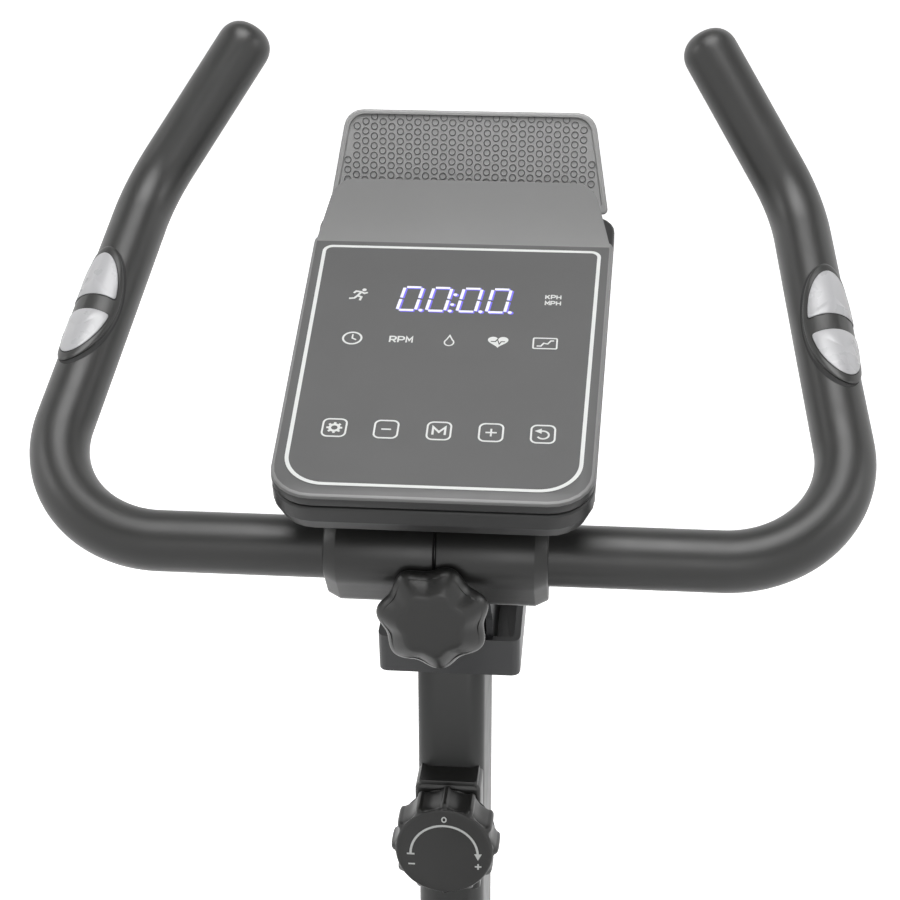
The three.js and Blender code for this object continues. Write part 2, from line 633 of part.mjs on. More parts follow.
function buildHandlebar(head) {
  const end = new THREE.Vector3(...BAR.tip).lerp(new THREE.Vector3(...BAR.kink), 0.04).toArray();
  const half = (s) => [
    [mirrored(s, end), 0], [mirrored(s, BAR.kink), BAR.kinkBend], [mirrored(s, BAR.corner), BAR.cornerBend],
  ];
  const route = new Route([...half(-1), ...half(1).reverse()], 4);
  const tube = withHoles(circle(BAR.tube, 12), circle(BAR.tube - BAR.wall, 12));
  part('handlebar_tube', sweep(route, tube), 'steel', head);

  for (const [side, s] of [['left', -1], ['right', 1]]) {
    const arm = (start) => new Route([
      [[s * start, 0, 0], 0], [mirrored(s, BAR.corner), BAR.cornerBend],
      [mirrored(s, BAR.kink), BAR.kinkBend], [mirrored(s, BAR.tip), 0],
    ], 4);
    const tip = new THREE.SphereGeometry(BAR.sleeve, 12, 6).translate(...mirrored(s, BAR.tip));
    const foam = join(sweep(arm(BAR.sleeveStart), circle(BAR.sleeve, 14)), tip);
    const bore = sweep(arm(BAR.sleeveStart - 20), circle(BAR.bore, 12));
    part(`grip_sleeve_${side}`, cut(foam, bore), 'foam', head);
    buildPulsePad(head, side, s);
  }
}

// A curved pad on the outer top of the arm, with two bright contact plates and a band between them.
function buildPulsePad(head, side, s) {
  const { middle, halfLength, halfWidth, angle, inner, outer } = PULSE;
  const corner = new THREE.Vector3(...mirrored(s, BAR.corner));
  const kink = new THREE.Vector3(...mirrored(s, BAR.kink));
  const along = kink.clone().sub(corner).normalize();
  const up = new THREE.Vector3(0, 0, 1).addScaledVector(along, -along.z).normalize();
  const normal = up.clone().applyAxisAngle(along, s * degrees(angle));
  const out = new THREE.Vector3().crossVectors(along, normal);

  const pad = new THREE.Group();
  pad.position.copy(corner).addScaledVector(along, middle);
  pad.quaternion.setFromRotationMatrix(new THREE.Matrix4().makeBasis(out, along, normal));
  head.add(pad);

  const ring = (low, high) => upright(withHoles(circle(high, 40), circle(low, 40)), -60, 60)
    .rotateX(Math.PI / 2);
  const ellipse = (a, b, from, to) => Array.from({ length: 13 }, (_, i) => {
    const t = degrees(from + ((to - from) * i) / 12);
    return new THREE.Vector2(a * Math.cos(t), b * Math.sin(t));
  });
  const whole = new THREE.Shape([
    ...ellipse(halfWidth, halfLength, 0, 180), ...ellipse(halfWidth, halfLength, 180, 360).slice(1, -1),
  ]);
  part(`pulse_base_${side}`, common(ring(inner, outer), upright(whole, 0, 40)), 'plastic', pad);

  const gapAngle = 9;
  for (const [end, from] of [['upper', gapAngle], ['lower', 180 + gapAngle]]) {
    const half = new THREE.Shape(ellipse(halfWidth - 3, halfLength - 4, from, from + 180 - 2 * gapAngle));
    const plate = common(ring(outer + GAP, outer + 1.1), upright(half, 0, 40));
    part(`pulse_plate_${end}_${side}`, plate, 'bright', pad);
  }
}

// ---------------------------------------------------------------- console

// The face's half width grows slowly away from the rider.
const faceHalf = (v) => 84.6 + 0.022 * v;

function consoleOutline(bottom, top, inset, bottomRadius, topRadius, steps = 6) {
  return outline([
    [-(faceHalf(bottom) - inset), bottom, bottomRadius], [faceHalf(bottom) - inset, bottom, bottomRadius],
    [faceHalf(top) - inset, top, topRadius], [-(faceHalf(top) - inset), top, topRadius],
  ], steps);
}

function buildConsole(head) {
  const { y, z, tilt, faceTop, back, slab, depth } = CONSOLE;
  const group = frameAt(0, y, z, tilt, head);

  const face = upright(consoleOutline(0, faceTop + 6, 0, 24, 4), -slab, 0, 2, 2);
  const hoodShape = outline([[-89.4, -5], [89.4, -5], [77, 38, 15], [-77, 38, 15]], 5);
  const hood = upright(hoodShape, -4, 0).rotateX(degrees(45)).translate(0, faceTop, 0);
  const lensPocket = upright(consoleOutline(9, 218, 8, 22, 5), -1.5, 5);
  part('console_face', cut(join(face, hood), lensPocket), 'console', group);
  const lens = upright(consoleOutline(9 + GAP, 218 - GAP, 8 + GAP, 22, 5), -1.5 + GAP, 0.2);
  part('console_lens', lens, 'panel', group);

  const shell = upright(consoleOutline(0, back, 0, 24, 16), -depth, 22 - slab, 12, 2);
  const above = block(-120, 120, -20, 300, -slab - GAP, 60);
  const pocket = upright(consoleOutline(10, back - 8, 11, 18, 8), -depth + 3, 10);
  const cableWay = block(-8, 8, 164, 180, -60, -depth + 10);
  part('console_base', cut(shell, above, pocket, cableWay), 'console', group);
  part('console_board', block(-66, 66, 30, 200, -slab - 8, -slab - 6.4), 'board', group);

  const plate = outline([
    [-REST.bottomHalf, 0, 3], [REST.bottomHalf, 0, 3],
    [REST.topHalf, REST.length, 12], [-REST.topHalf, REST.length, 12],
  ], 5);
  const recess = outline([
    [-REST.bottomHalf + 4, 4, 2], [REST.bottomHalf - 4, 4, 2],
    [REST.topHalf - 3, REST.length - 3, 10], [-REST.topHalf + 3, REST.length - 3, 10],
  ], 5);
  const rest = frameAt(0, REST.v, REST.w, REST.tilt, group);
  const tablet = cut(upright(plate, -REST.thickness, 0, 1, 1), upright(recess, -1.6, 5));
  part('tablet_rest', tablet, 'console', rest);
  buildConsoleBracket(head);
}

// A folded steel bracket from between the post head's webs up to the console's underside.
function buildConsoleBracket(head) {
  const { y, z, tilt, depth } = CONSOLE;
  const stalk = block(-22.2, 22.2, 118, 122, -115, 56);
  const top = block(-22.2, 22.2, 132, 186, -depth - GAP - 4, -depth - GAP);
  part('console_bracket', join(top.rotateX(degrees(tilt)).translate(0, y, z), stalk), 'steel', head);
}

// ---------------------------------------------------------------- assembly

buildFrame();
buildFeet();
buildSeatTube();
buildSeatPost();
buildSaddle();
buildCrank();
buildFlywheel();
buildMagnetShoe();
buildShroud();

const headGroup = frameAt(0, BAR.y, BAR.z);
buildPost(headGroup);
buildPostHead(headGroup);
buildClampCovers(headGroup);
buildClampKnob(headGroup);
buildHandlebar(headGroup);
buildConsole(headGroup);

export default bike;
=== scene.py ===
"""Upright exercise bike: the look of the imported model.

Each sub-assembly is a class. Its lengths are millimetres, and its places come from the joints of
the frame. Smooth pieces are surfaces worked out on a grid, and plain ones are softened copies of
solids.
"""

import json
import logging
import math
from dataclasses import dataclass, field
from enum import Enum
from typing import Any, Iterable, Optional, Sequence

import bmesh
import bpy
import numpy as np
from mathutils import Matrix, Vector

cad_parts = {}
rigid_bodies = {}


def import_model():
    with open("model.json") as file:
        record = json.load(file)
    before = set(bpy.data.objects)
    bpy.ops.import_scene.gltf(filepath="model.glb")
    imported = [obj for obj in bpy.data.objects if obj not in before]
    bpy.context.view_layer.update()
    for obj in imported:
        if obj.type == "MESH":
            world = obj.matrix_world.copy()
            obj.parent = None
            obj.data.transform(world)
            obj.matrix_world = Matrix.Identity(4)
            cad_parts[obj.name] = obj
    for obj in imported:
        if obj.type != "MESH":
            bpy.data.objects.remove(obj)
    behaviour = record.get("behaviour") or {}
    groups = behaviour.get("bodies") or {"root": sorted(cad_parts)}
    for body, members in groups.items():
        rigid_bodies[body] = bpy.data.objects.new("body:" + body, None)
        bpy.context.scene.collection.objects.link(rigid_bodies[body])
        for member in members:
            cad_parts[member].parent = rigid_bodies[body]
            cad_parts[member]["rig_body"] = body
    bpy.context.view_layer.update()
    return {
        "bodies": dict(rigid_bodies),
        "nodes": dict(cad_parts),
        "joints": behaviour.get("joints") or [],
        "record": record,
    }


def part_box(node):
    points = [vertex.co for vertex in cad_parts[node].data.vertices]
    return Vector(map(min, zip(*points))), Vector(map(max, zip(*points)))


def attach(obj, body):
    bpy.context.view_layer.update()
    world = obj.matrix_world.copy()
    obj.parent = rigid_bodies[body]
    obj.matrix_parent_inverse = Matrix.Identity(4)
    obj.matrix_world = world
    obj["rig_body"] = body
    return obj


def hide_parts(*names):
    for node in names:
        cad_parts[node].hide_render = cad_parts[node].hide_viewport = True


LOG = logging.getLogger("exercise_bike")
MM = 0.001
UP = np.array([0.0, 0.0, 1.0])
EDGE_TURN = math.radians(35)  # an edge of a solid that turns by more is rounded
FLAT_TURN = math.radians(0.6)  # faces that turn by less are merged into one
Colour = tuple[float, float, float]
Profile = Sequence[tuple[float, float]]


# ---------------------------------------------------------------- places and grids


class Place:
    """A turned and moved frame, in millimetres, whose points can be taken to the world."""

    def __init__(self, matrix: np.ndarray) -> None:
        """Keeps the 4 by 4 matrix that takes local points to the world."""
        self.matrix = matrix

    @classmethod
    def at(cls, x: float, y: float, z: float, tilt: float = 0.0) -> "Place":
        """Makes a place at a point, turned about the x axis.

        Args:
            x, y, z: The origin, in millimetres.
            tilt: The turn about x, in degrees.

        Returns:
            The place.
        """
        matrix = Matrix.Translation((x, y, z)) @ Matrix.Rotation(math.radians(tilt), 4, "X")
        return cls(np.array(matrix))

    def then(self, x: float, y: float, z: float, tilt: float = 0.0) -> "Place":
        """Returns a place given in this one's own frame."""
        return Place(self.matrix @ Place.at(x, y, z, tilt).matrix)

    def world(self, points: np.ndarray) -> np.ndarray:
        """Takes an array of points, shape (..., 3), to the world."""
        return points @ self.matrix[:3, :3].T + self.matrix[:3, 3]


def unit(vectors: np.ndarray) -> np.ndarray:
    """Returns vectors scaled to length one along their last axis."""
    return vectors / np.linalg.norm(vectors, axis=-1, keepdims=True)


def around(count: int) -> np.ndarray:
    """Returns angles evenly round a full turn, without the last one."""
    return np.linspace(0.0, 2 * np.pi, count, endpoint=False)


def travelled(points: np.ndarray) -> np.ndarray:
    """Returns each point's distance from the first one, along the line through them."""
    return np.concatenate([[0], np.cumsum(np.linalg.norm(np.diff(points, axis=0), axis=1))])


def sampled(places: np.ndarray, known: np.ndarray, values: np.ndarray) -> np.ndarray:
    """Returns each column of values, given at the known places, worked out at new places."""
    return np.stack([np.interp(places, known, column) for column in values.T], axis=-1)


def circle(radius: Any, turn: np.ndarray, x: float = 0.0, y: float = 0.0) -> np.ndarray:
    """Returns the points at a radius and angles about (x, y), shape (..., 2)."""
    return np.stack([x + radius * np.cos(turn), y + radius * np.sin(turn)], axis=-1)


def spun(radius: np.ndarray, height: np.ndarray, turn: np.ndarray) -> np.ndarray:
    """Returns a turned surface: radius r, angle t and height h give (r cos t, r sin t, h)."""
    radius, height, turn = np.broadcast_arrays(radius, height, turn)
    return np.concatenate([circle(radius, turn), height[..., None]], axis=-1)


def raised(outline: np.ndarray, height: float) -> np.ndarray:
    """Returns a flat outline at a height, shape (n, 3)."""
    return np.column_stack([outline, np.full(len(outline), height)])


def eased(profile: Profile, steps: int = 4) -> np.ndarray:
    """Rounds a profile by cutting its corners twice.

    Each inner corner is replaced by points a quarter and three quarters along its two sides.

    Args:
        profile: The corner points.
        steps: Half of this is how many pieces each side is then divided into.

    Returns:
        The points of the rounded profile, shape (n, 2).
    """
    points = np.array(profile, float)
    for _ in range(2):
        near = 0.75 * points[:-1] + 0.25 * points[1:]
        far = 0.25 * points[:-1] + 0.75 * points[1:]
        cut = np.stack([near, far], axis=1).reshape(-1, 2)
        points = np.vstack([points[:1], cut[1:-1], points[-1:]])
    last = len(points) - 1
    places = np.linspace(0, last, last * max(1, steps // 2) + 1)
    return sampled(places, np.arange(len(points)), points)


def even_loop(points: np.ndarray, count: int, softness: float = 0.0) -> np.ndarray:
    """Spaces a closed loop evenly and rounds its corners.

    The loop is sampled at equal lengths, and its Fourier terms are damped by a Gaussian.

    Args:
        points: The loop, shape (n, 2), without a repeated last point.
        count: The number of points wanted.
        softness: The width of the rounding, in the loop's own unit.

    Returns:
        The new loop, shape (count, 2).
    """
    closed = np.vstack([points, points[:1]])
    length = travelled(closed)
    even = sampled(np.linspace(0, length[-1], count, endpoint=False), length, closed)
    loop = even[:, 0] + 1j * even[:, 1]
    if softness:
        waves = 2 * np.pi * np.fft.fftfreq(count, d=length[-1] / count)
        loop = np.fft.ifft(np.fft.fft(loop) * np.exp(-0.5 * (waves * softness) ** 2))
    return np.stack([loop.real, loop.imag], axis=1)


def fillet(before: np.ndarray, corner: np.ndarray, after: np.ndarray, radius: float,
           count: int) -> np.ndarray:
    """Returns the arc that rounds a corner between two straight runs.

    Its centre lies on the corner's bisector, a radius from both runs, and its points turn evenly
    from the run before to the run after.

    Args:
        before, corner, after: The corner and the points on either side of it.
        radius: The arc's radius.
        count: The number of points.

    Returns:
        The arc's points, in as many dimensions as the corner has.
    """
    back, ahead = unit(before - corner), unit(after - corner)
    half = np.arccos(np.clip(back @ ahead, -1, 1)) / 2
    centre = corner + unit(back + ahead) * radius / np.sin(half)
    start, end = (corner + way * radius / np.tan(half) - centre for way in (back, ahead))
    sweep = np.pi - 2 * half
    turn = np.linspace(0, sweep, count)[:, None]
    return centre + (start * np.sin(sweep - turn) + end * np.sin(turn)) / np.sin(sweep)


def rounded(corners: Sequence[tuple[float, float, float]], steps: int = 8) -> np.ndarray:
    """Makes a closed outline whose corners are arcs.

    Args:
        corners: Corners, in order round the outline, as x, y, radius.
        steps: The number of pieces in each arc.

    Returns:
        The outline, shape (n, 2).
    """
    at = np.array([corner[:2] for corner in corners], float)
    return np.vstack([fillet(at[i - 1], at[i], at[(i + 1) % len(at)], radius, steps + 1)
                      for i, (_, _, radius) in enumerate(corners)])


def mesh_from(name: str, points: np.ndarray, faces: Sequence[Sequence[int]],
              sharp: float = 40.0) -> bpy.types.Mesh:
    """Makes a mesh, in metres, with outward faces and smooth shading.

    Args:
        name: The mesh's name.
        points: World points in millimetres.
        faces: Indices of each face.
        sharp: Edges that turn by more than this many degrees stay sharp.

    Returns:
        The mesh.
    """
    mesh = bpy.data.meshes.new(name)
    mesh.from_pydata((points * MM).tolist(), [], [list(face) for face in faces])
    work = bmesh.new()
    work.from_mesh(mesh)
    bmesh.ops.remove_doubles(work, verts=work.verts, dist=1e-7)
    bmesh.ops.recalc_face_normals(work, faces=work.faces)
    work.to_mesh(mesh)
    work.free()
    mesh.shade_smooth()
    mesh.set_sharp_from_angle(angle=math.radians(sharp))
    return mesh


def skin(name: str, rings: np.ndarray, place: Optional[Place] = None, looped: bool = False,
         sharp: float = 40.0, capped: bool = True) -> bpy.types.Mesh:
    """Covers a stack of closed rings with faces.

    Args:
        name: The mesh's name.
        rings: Points, shape (rings, points per ring, 3).
        place: The frame of the points, or None for the world's.
        looped: True joins the last ring to the first.
        sharp: The angle of the edges that stay sharp, in degrees.
        capped: True closes both ends with a fan, where the rings aren't looped.

    Returns:
        The mesh.
    """
    rows, columns = rings.shape[:2]
    points = rings.reshape(-1, 3)
    row = np.arange(rows if looped else rows - 1)[:, None] * columns
    column = np.arange(columns)[None, :]
    beside = (column + 1) % columns
    above = (row + columns) % (rows * columns)
    quads = np.stack([row + column, row + beside, above + beside, above + column], -1)
    faces = quads.reshape(-1, 4).tolist()
    if capped and not looped:
        for first, ring in ((0, rings[0]), ((rows - 1) * columns, rings[-1])):
            centre = len(points)
            points = np.vstack([points, ring.mean(0)])
            faces += [[first + i, first + (i + 1) % columns, centre] for i in range(columns)]
    return mesh_from(name, place.world(points) if place else points, faces, sharp)


def lift(outline: np.ndarray, profile: Profile) -> np.ndarray:
    """Stacks an outline by a profile of scale and height.

    Args:
        outline: A loop round its own middle, shape (n, 2).
        profile: For each ring, the scale about the middle and the height.

    Returns:
        The rings, shape (profile, n, 3).
    """
    middle = outline.mean(0)
    scale, height = np.array(profile, float).T
    flat = middle + (outline - middle)[None] * scale[:, None, None]
    level = np.broadcast_to(height[:, None, None], flat.shape[:2] + (1,))
    return np.concatenate([flat, level], -1)


# ---------------------------------------------------------------- shader maths


class Signal:
    """A shader socket that takes part in Python expressions, which add Math nodes."""

    def __init__(self, shader: "Shader", socket: bpy.types.NodeSocket) -> None:
        """Keeps the shader and the output socket."""
        self.shader = shader
        self.socket = socket

    def _math(self, operation: str, first: Any, second: Any) -> "Signal":
        """Adds a Math node and returns its result."""
        node = self.shader.node("ShaderNodeMath", {"operation": operation}, {0: first, 1: second})
        return Signal(self.shader, node.outputs[0])

    def __add__(self, other: Any) -> "Signal":
        """Returns self + other."""
        return self._math("ADD", self, other)

    __radd__ = __add__

    def __mul__(self, other: Any) -> "Signal":
        """Returns self * other."""
        return self._math("MULTIPLY", self, other)

    __rmul__ = __mul__

    def __sub__(self, other: Any) -> "Signal":
        """Returns self - other."""
        return self._math("SUBTRACT", self, other)

    def __rsub__(self, other: Any) -> "Signal":
        """Returns other - self."""
        return self._math("SUBTRACT", other, self)


class Shader:
    """A material's node tree with its Principled shader."""

    def __init__(self, name: str) -> None:
        """Starts a material.

        Args:
            name: The material's name.
        """
        self.material = bpy.data.materials.new(name)
        self.material.use_nodes = True
        self.tree = self.material.node_tree
        self.principled = self.tree.nodes["Principled BSDF"]
        self.position = Signal(self, self.node("ShaderNodeTexCoord").outputs["Object"])

    def node(self, kind: str, settings: Optional[dict[str, Any]] = None,
             inputs: Optional[dict[Any, Any]] = None) -> bpy.types.Node:
        """Adds any node.

        Args:
            kind: The node's type.
            settings: Its properties, set first; "stops" holds a ramp's place and grey value pairs.
            inputs: Values or signals by socket name or number.

        Returns:
            The node.
        """
        node = self.tree.nodes.new(kind)
        for key, value in (settings or {}).items():
            if key == "stops":
                for element, (place, grey) in zip(node.color_ramp.elements, value):
                    element.position = place
                    element.color = (grey, grey, grey, 1)
            else:
                setattr(node, key, value)
        self.feed(node, inputs or {})
        return node

    def feed(self, node: bpy.types.Node, inputs: dict[Any, Any]) -> None:
        """Sets a node's input sockets to values or links them to signals.

        Args:
            node: The node.
            inputs: Values or signals by socket name or number.
        """
        for key, value in inputs.items():
            if isinstance(value, Signal):
                self.tree.links.new(value.socket, node.inputs[key])
            else:
                node.inputs[key].default_value = value

    def noise(self, scale: float, detail: float = 4.0) -> Signal:
        """Makes smooth noise about one half.

        Args:
            scale: Its cells per metre.
            detail: How many finer layers are added to it.

        Returns:
            The noise.
        """
        node = self.node("ShaderNodeTexNoise", {},
                         {"Vector": self.position, "Scale": scale, "Detail": detail})
        return Signal(self, node.outputs[0])

    def cells(self, scale: float) -> Signal:
        """Returns the distance to the nearest of many scattered points."""
        node = self.node("ShaderNodeTexVoronoi", {}, {"Vector": self.position, "Scale": scale})
        return Signal(self, node.outputs["Distance"])

    def ramp(self, signal: Signal, low: float, high: float) -> Signal:
        """Stretches a signal.

        Args:
            signal: The signal.
            low, high: Its values that become 0 and 1.

        Returns:
            The stretched signal.
        """
        node = self.node("ShaderNodeValToRGB", {"stops": ((low, 0.0), (high, 1.0))},
                         {"Fac": signal})
        return Signal(self, node.outputs[0])

    def blend(self, factor: Signal, dark: Colour, light: Colour) -> Signal:
        """Mixes two colours.

        Args:
            factor: How far the mix has gone to the light colour.
            dark, light: The two colours.

        Returns:
            The mixed colour.
        """
        node = self.node("ShaderNodeMix", {"data_type": "RGBA"},
                         {0: factor, 6: (*dark, 1), 7: (*light, 1)})
        return Signal(self, node.outputs[2])

    def bump(self, height: Signal, depth: float) -> Signal:
        """Tilts the surface's normals by a height.

        Args:
            height: The height signal, from 0 to 1.
            depth: The height in metres that 1 stands for.

        Returns:
            The normals.
        """
        node = self.node("ShaderNodeBump", {},
                         {"Height": height, "Distance": depth, "Strength": 1.0})
        return Signal(self, node.outputs[0])


class Grain(Enum):
    """The kinds of fine relief that the finishes have."""

    MOULDED = "moulded"
    FOAM = "foam"
    PAINT = "paint"
    HIDE = "hide"
    TURNED = "turned"
    SMOOTH = "smooth"


@dataclass(frozen=True)
class Finish:
    """A finish: its colour, gloss and fine relief. Grain is in cells per metre, depth in metres."""

    colour: Colour
    roughness: float
    grain: Grain = Grain.MOULDED
    cells: float = 1400.0
    depth: float = 0.00004
    mottle: float = 0.08
    metallic: float = 0.0
    coat: float = 0.0
    sheen: float = 0.0
    glow: float = 0.0

    def relief(self, shader: Shader) -> Signal:
        """Mixes cells and noise into the height of the fine relief.

        Args:
            shader: The material's shader.

        Returns:
            The height, from 0 to 1.
        """
        if self.grain is Grain.HIDE:
            pores = shader.ramp(shader.cells(self.cells), 0.02, 0.45)
            return pores * 0.8 + shader.noise(self.cells * 3) * 0.2
        if self.grain is Grain.FOAM:
            return shader.cells(self.cells) * 0.5 + shader.noise(self.cells * 0.6) * 0.5
        if self.grain is Grain.TURNED:
            return shader.noise(self.cells * 0.5, 8.0)
        return shader.noise(self.cells, 3.0)

    def material(self, name: str) -> bpy.types.Material:
        """Builds the material: mottled colour, varied roughness and fine bump.

        Args:
            name: The finish's name.

        Returns:
            The material.
        """
        shader = Shader(name)
        relief = self.relief(shader)
        broad = shader.ramp(shader.noise(11.0), 0.3, 0.7) * 0.7 + relief * 0.3
        dark, light = (tuple(c * share for c in self.colour)
                       for share in (1 - self.mottle, 1 + self.mottle))
        scuffs = shader.ramp(shader.noise(60.0, 8.0), 0.42, 0.72)
        shader.feed(shader.principled, {
            "Base Color": shader.blend(broad, dark, light),
            "Roughness": self.roughness - 0.03 + scuffs * 0.06,
            "Metallic": self.metallic,
            "Coat Weight": self.coat,
            "Coat Roughness": 0.25,
            "Sheen Weight": self.sheen,
            "Sheen Roughness": 0.5,
        })
        if self.grain is not Grain.SMOOTH:
            shader.feed(shader.principled, {"Normal": shader.bump(relief, self.depth)})
        if self.glow:
            shader.feed(shader.principled, {
                "Emission Color": (*self.colour, 1), "Emission Strength": self.glow})
        return shader.material


FINISHES: dict[str, Finish] = {
    "frame_steel": Finish((0.020, 0.021, 0.023), 0.42, Grain.PAINT, 700, 0.00003, coat=0.15),
    "post_paint": Finish((0.020, 0.021, 0.020), 0.40, Grain.PAINT, 700, 0.00003),
    "black_plastic": Finish((0.021, 0.021, 0.020), 0.36, Grain.MOULDED, 1500, 0.00003),
    "shroud_plastic": Finish((0.032, 0.033, 0.034), 0.50, Grain.MOULDED, 1100, 0.00006),
    "grip_foam": Finish((0.025, 0.025, 0.024), 0.40, Grain.FOAM, 1700, 0.00003, sheen=0.10),
    # a lighter copy of the console's one plastic, for faces turned up: painted light
    "console_plastic": Finish((0.205, 0.205, 0.204), 0.46, Grain.MOULDED, 1700, 0.00003, 0.05),
    # a darker copy of it for faces turned like the panel, and for the rest's rings: painted shade
    "plastic_painted_shade": Finish((0.098, 0.098, 0.098), 0.44, Grain.MOULDED, 1700, 0.00003, 0.05),
    # a near-black copy of it for side walls and the base: painted shade; also a dark print
    "plastic_deep_shade_and_dark_ink": Finish((0.014, 0.014, 0.014), 0.46, Grain.MOULDED, 1700, 0.00003, 0.05),
    "console_panel": Finish((0.100, 0.100, 0.100), 0.42, Grain.MOULDED, 2200, 0.00001, 0.03),
    "rest_plastic": Finish((0.330, 0.330, 0.328), 0.44, Grain.MOULDED, 1700, 0.00003, 0.05),
    "contact_metal": Finish((0.42, 0.42, 0.43), 0.30, Grain.SMOOTH, mottle=0.02, coat=0.2),
    "bare_iron": Finish((0.10, 0.10, 0.11), 0.42, Grain.TURNED, 900, 0.00004, 0.12, metallic=0.85),
    "black_rubber": Finish((0.014, 0.014, 0.014), 0.78, Grain.FOAM, 1200, 0.00006),
    "circuit_board": Finish((0.015, 0.070, 0.035), 0.45, Grain.MOULDED, 900, 0.00003, 0.15),
    "saddle_cover": Finish((0.016, 0.016, 0.017), 0.56, Grain.HIDE, 650, 0.00018, 0.18, sheen=0.08),
    # printed white; its faint glow is painted light
    "white_ink_painted_glow": Finish((0.52, 0.53, 0.52), 0.45, Grain.SMOOTH, mottle=0.01, glow=0.32),
    "lit_digit": Finish((0.66, 0.65, 0.78), 0.40, Grain.SMOOTH, mottle=0.01, glow=0.35),
    "digit_halo": Finish((0.14, 0.12, 0.62), 0.40, Grain.SMOOTH, mottle=0.02, glow=0.45),
    "seam_thread": Finish((0.060, 0.060, 0.062), 0.70, Grain.FOAM, 1600, 0.00010),
}


# ---------------------------------------------------------------- the bench


class Bench:
    """Turns meshes into finished pieces of the frame."""

    def __init__(self, frame: dict[str, Any]) -> None:
        """Keeps the frame and makes every finish once.
        """
        self.frame = frame
        self.materials = {name: finish.material(name) for name, finish in FINISHES.items()}
        self.slots = {row["node"]: row["material_slot"] for row in frame["record"]["subparts"]}
        self.joints = {joint["name"]: joint for joint in frame["joints"]}
        self.done: set[str] = set()

    def body(self, node: str) -> str:
        """Returns the body that a node belongs to."""
        return self.frame["nodes"][node]["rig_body"]

    def pivot(self, joint: str) -> np.ndarray:
        """Returns a hinge's place, in millimetres."""
        return np.array(self.joints[joint]["pos_m"], float) / MM

    def piece(self, name: str, mesh: bpy.types.Mesh, finish: str,
              stands_for: Sequence[str] = (), body: str = "base",
              slot: str = "") -> bpy.types.Object:
        """Puts a mesh in the scene as a piece.

        Args:
            name: The piece's name.
            mesh: Its mesh, in place.
            finish: The name of its finish.
            stands_for: The nodes that it replaces; the first gives its body.
            body: The body that it rides on, if it replaces nothing.
            slot: The record's slot, if it replaces nothing; not used.

        Returns:
            The object.
        """
        obj = bpy.data.objects.new(name, mesh)
        bpy.context.scene.collection.objects.link(obj)
        mesh.materials.clear()
        mesh.materials.append(self.materials[finish])
        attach(obj, self.body(stands_for[0]) if stands_for else body)
        if stands_for:
            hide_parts(*stands_for)
            self.done.update(stands_for)
        LOG.info("%s: %d faces, %s", name, len(mesh.polygons), finish)
        return obj

    def softened(self, node: str, bevel: float = 0.8, finish: str = "") -> bpy.types.Object:
        """Copies a solid of the frame, merges it and rounds its edges.

        Args:
            node: The solid's name.
            bevel: The width of the rounding, in millimetres.
            finish: The finish, or the node's own slot when empty.

        Returns:
            The piece that stands for the node.
        """
        mesh = self.frame["nodes"][node].data.copy()
        work = bmesh.new()
        work.from_mesh(mesh)
        bmesh.ops.remove_doubles(work, verts=work.verts, dist=1e-6)
        bmesh.ops.dissolve_limit(work, angle_limit=FLAT_TURN, verts=work.verts, edges=work.edges)
        work.to_mesh(mesh)
        work.free()
        mesh.shade_smooth()
        mesh.set_sharp_from_angle(angle=EDGE_TURN)
        obj = self.piece(f"{node}_finished", mesh, finish or self.slots[node], (node,))
        if bevel:
            edge = obj.modifiers.new("edge", "BEVEL")
            edge.width, edge.segments = bevel * MM, 3
            edge.limit_method, edge.angle_limit = "ANGLE", EDGE_TURN
        return obj


# ---------------------------------------------------------------- flat prints


BOWL = [(0, 0), (0, 1), (0.7, 1), (1, 0.86), (1, 0.58), (0.7, 0.44), (0, 0.44)]
LETTERS: dict[str, list[Any]] = {
    "H": [[(0, 0), (0, 1)], [(1, 0), (1, 1)], [(0, 0.5), (1, 0.5)]],
    "K": [[(0, 0), (0, 1)], [(1, 1), (0.1, 0.42)], [(0.35, 0.58), (1, 0)]],
    "M": [[(0, 0), (0, 1), (0.5, 0.35), (1, 1), (1, 0)]],
    "P": [BOWL],
    "R": [BOWL, [(0.5, 0.44), (1, 0)]],
}


